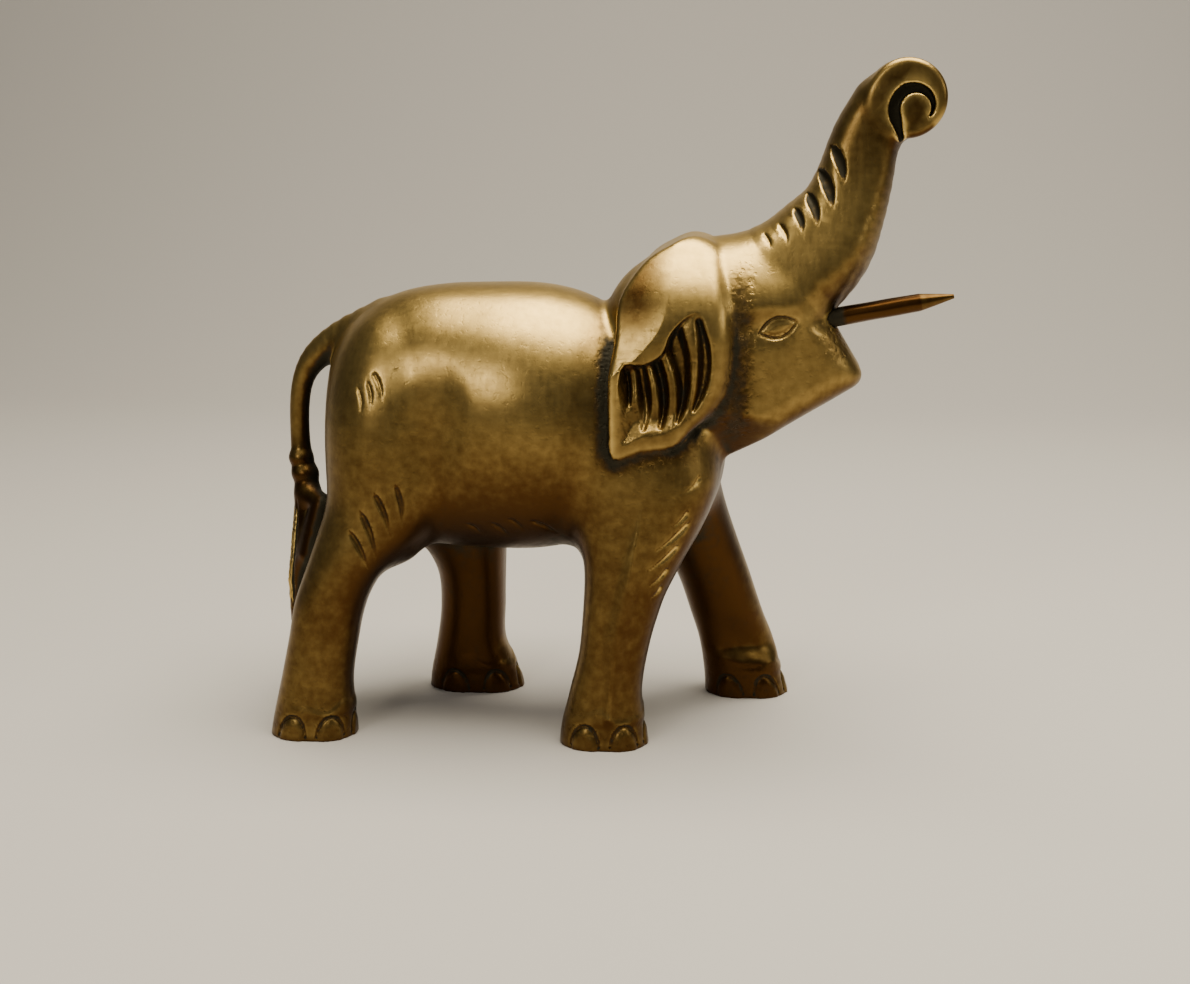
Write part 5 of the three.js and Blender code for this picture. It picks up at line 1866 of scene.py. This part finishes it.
class AgedBrass:
    """Builds the brass materials round the shared ageing and grit groups."""

    def __init__(self) -> None:
        """Builds the two groups once."""
        self.ageing = Ageing().build()
        self.grit = Grit().build()

    @staticmethod
    def group(
        name: str, inputs: dict[str, float], outputs: Sequence[str]
    ) -> tuple[NodeTree, bpy.types.NodeOutputs]:
        """Makes an empty shader group.

        Args:
            name: its name.
            inputs: its inputs, each with its value.
            outputs: its outputs.

        Returns:
            The group's builder, and what the group is given.
        """
        tree = bpy.data.node_groups.new(name, "ShaderNodeTree")
        for key, value in inputs.items():
            socket = tree.interface.new_socket(key, in_out="INPUT", socket_type="NodeSocketFloat")
            socket.default_value = value
        for key in outputs:
            tree.interface.new_socket(key, in_out="OUTPUT", socket_type="NodeSocketFloat")
        nodes = NodeTree(tree)
        return nodes, nodes.add("NodeGroupInput").outputs

    @staticmethod
    def marks(nodes: NodeTree, finish: BrassFinish) -> tuple[object, object, object]:
        """Reads off the mesh how sheltered, worn and gritty the brass is.

        Args:
            nodes: the material's builder.
            finish: the finish.

        Returns:
            The shelter, the wear and the grit.
        """
        shelter = nodes.attribute("shelter")
        if finish.filed_mark:
            filed = nodes.range(nodes.attribute("filed"), finish.filed_edge, finish.filed_worn)
            return shelter, filed, finish.grit
        worn, carved = nodes.attribute("worn"), nodes.attribute("carved")
        tone, pitted = nodes.attribute("tone"), nodes.attribute("pitted")
        filled = nodes.times(carved, tone)
        cleaned = nodes.times(carved, nodes.minus(1.0, tone))
        shelter = nodes.plus(shelter, nodes.times(filled, finish.filled_line))
        shelter = nodes.minus(shelter, nodes.times(cleaned, finish.cleaned_line))
        shelter = nodes.plus(shelter, nodes.times(pitted, finish.pit_shelter))
        worn = nodes.plus(worn, nodes.times(cleaned, finish.cleaned_worn))
        return shelter, worn, nodes.plus(nodes.times(pitted, finish.pit_grit), finish.grit)

    def material(self, finish: BrassFinish) -> bpy.types.Material:
        """Builds one brass material.

        Args:
            finish: its colours and roughness.

        Returns:
            The material.
        """
        material = bpy.data.materials.new(finish.name)
        material.use_nodes = True
        nodes = NodeTree(material.node_tree)
        shelter, worn, grit = self.marks(nodes, finish)
        # The painted light and shade stored on the mesh, with shelter and wear.
        inputs = {
            "Shelter": shelter, "Worn": worn, "Painted light": nodes.attribute("painted_light"),
            "Brown share": finish.brown_share,
        }
        aged = nodes.add("ShaderNodeGroup", inputs, node_tree=self.ageing).outputs
        inputs = {"Grit": grit, "Scratches": finish.scratches}
        relief = nodes.add("ShaderNodeGroup", inputs, node_tree=self.grit).outputs
        colour = nodes.blend(aged["Brown"], finish.bright, finish.brown)
        colour = nodes.blend(aged["Bright"], colour, finish.bright)
        colour = nodes.blend(aged["Dark"], colour, finish.dark)
        rough = nodes.range(aged["Brown"], (0.0, 1.0), (finish.bright_rough, finish.brown_rough))
        scuffed = nodes.times(nodes.minus(relief["Scuff"], finish.scuff_middle), finish.scuff_rough)
        dulled = nodes.times(aged["Dark"], finish.dark_rough - finish.brown_rough)
        rough = nodes.plus(nodes.plus(rough, scuffed), dulled)
        inputs = {
            "Height": relief["Height"], "Distance": finish.bump_height, "Strength": finish.bump_strength,
        }
        sockets = {
            "Base Color": colour,
            "Roughness": rough,
            "Metallic": nodes.range(aged["Dark"], (0.0, 1.0), (1.0, finish.dark_metal)),
            "Normal": nodes.add("ShaderNodeBump", inputs).outputs[0],
        }
        shader = material.node_tree.nodes["Principled BSDF"]
        for name, value in sockets.items():
            material.node_tree.links.new(value, shader.inputs[name])
        return material


@dataclass(frozen=True)
class Lamp:
    """One soft square light: its place and size in metres, its power and its colour."""

    name: str
    place: Row
    size: float
    power: float
    colour: Row = (1, 0.92, 0.8)


@dataclass
class Stage:
    """The plain pale floor, the soft lights and the camera."""

    floor_half: float = 3.0
    floor_colour: Row = (0.66, 0.64, 0.61, 1)
    floor_rough: float = 0.6
    sweep_at: float = 0.5
    sweep: float = 0.5
    sweep_steps: int = 24
    image_width: float = 1190
    focal_pixels: float = 1750
    sensor: float = 36
    azimuth: float = math.radians(5.5)
    pitch: float = math.radians(12.31)
    distance: float = 0.4665
    height: float = 0.165
    near: float = 0.01
    world: Row = (0.075, 0.075, 0.075, 1)
    lit: Row = (0, 0, 0.09)
    lamps: tuple[Lamp, ...] = (
        Lamp("overhead", (0.12, 0, 0.8), 0.7, 13, (1, 0.9, 0.72)),
        Lamp("front", (-0.35, -0.8, 0.5), 0.25, 1.6),
        Lamp("side", (0.85, -0.3, 0.4), 0.3, 0.8),
    )

    def floor(self) -> bpy.types.Object:
        """Lays the floor, which sweeps up behind the figure.

        Returns:
            The floor.
        """
        mesh = bpy.data.meshes.new("floor")
        turns = np.linspace(0, math.pi / 2, self.sweep_steps)
        rise = [(self.sweep_at + self.sweep * math.sin(t), self.sweep * (1 - math.cos(t))) for t in turns]
        profile = [(-self.floor_half, 0), *rise, (rise[-1][0], self.floor_half)]
        corners = [(x, y, z) for y, z in profile for x in (-self.floor_half, self.floor_half)]
        strips = [(2 * i, 2 * i + 1, 2 * i + 3, 2 * i + 2) for i in range(len(profile) - 1)]
        mesh.from_pydata(corners, [], strips)
        mesh.shade_smooth()
        material = bpy.data.materials.new("pale floor")
        material.use_nodes = True
        shader = material.node_tree.nodes["Principled BSDF"]
        shader.inputs["Base Color"].default_value = self.floor_colour
        shader.inputs["Roughness"].default_value = self.floor_rough
        mesh.materials.append(material)
        return MeshTools.add_object("floor", mesh)

    def light(self, lamp: Lamp) -> None:
        """Hangs a soft square light that faces the figure's middle.

        Args:
            lamp: the light.
        """
        light = bpy.data.lights.new(lamp.name, "AREA")
        light.size = lamp.size
        light.energy = lamp.power
        light.color = lamp.colour
        holder = bpy.data.objects.new(lamp.name, light)
        bpy.context.scene.collection.objects.link(holder)
        holder.location = lamp.place
        holder.rotation_euler = (Vector(self.lit) - Vector(lamp.place)).to_track_quat("-Z", "Y").to_euler()

    def camera(self) -> None:
        """Sets up the camera at the photograph's angle."""
        level = Vector((-math.sin(self.azimuth), math.cos(self.azimuth), 0))
        place = Vector((FORM_OFFSET[0], FORM_OFFSET[1], self.height)) - level * self.distance
        way = level * math.cos(self.pitch) - Vector((0, 0, math.sin(self.pitch)))
        lens = bpy.data.cameras.new("camera")
        lens.sensor_width = self.sensor
        lens.lens = self.sensor * self.focal_pixels / self.image_width
        lens.clip_start = self.near
        holder = bpy.data.objects.new("camera", lens)
        bpy.context.scene.collection.objects.link(holder)
        holder.location = place
        holder.rotation_euler = way.to_track_quat("-Z", "Y").to_euler()
        bpy.context.scene.camera = holder

    def build(self) -> bpy.types.Object:
        """Sets the whole stage.

        Returns:
            The floor.
        """
        world = bpy.data.worlds.new("studio")
        world.use_nodes = True
        world.node_tree.nodes["Background"].inputs["Color"].default_value = self.world
        bpy.context.scene.world = world
        for lamp in self.lamps:
            self.light(lamp)
        self.camera()
        return self.floor()


def main() -> None:
    """Builds the figure's pieces in order, dresses them and logs their face counts."""
    logging.basicConfig(level=logging.INFO, format="%(message)s")
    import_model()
    brass = AgedBrass()
    cast_brass = brass.material(BrassFinish("cast brass"))
    filed_brass = brass.material(BrassFinish("filed brass", grit=0.1, brown_share=0.95, filed_mark=True))
    step = GRID_STEP
    elephant = Casting(step=step / SHARE).build(cast_brass)
    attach(elephant, "root")
    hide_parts("elephant_casting")
    rod = TuskRod()
    rod_tree = rod.build(filed_brass)
    for seat in TUSK_SEATS:
        tusk = Tusk(seat).build(rod, rod_tree)
        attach(tusk, "root")
        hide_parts(seat.node)
    Stage().build()


if __name__ == "__main__":
    main()
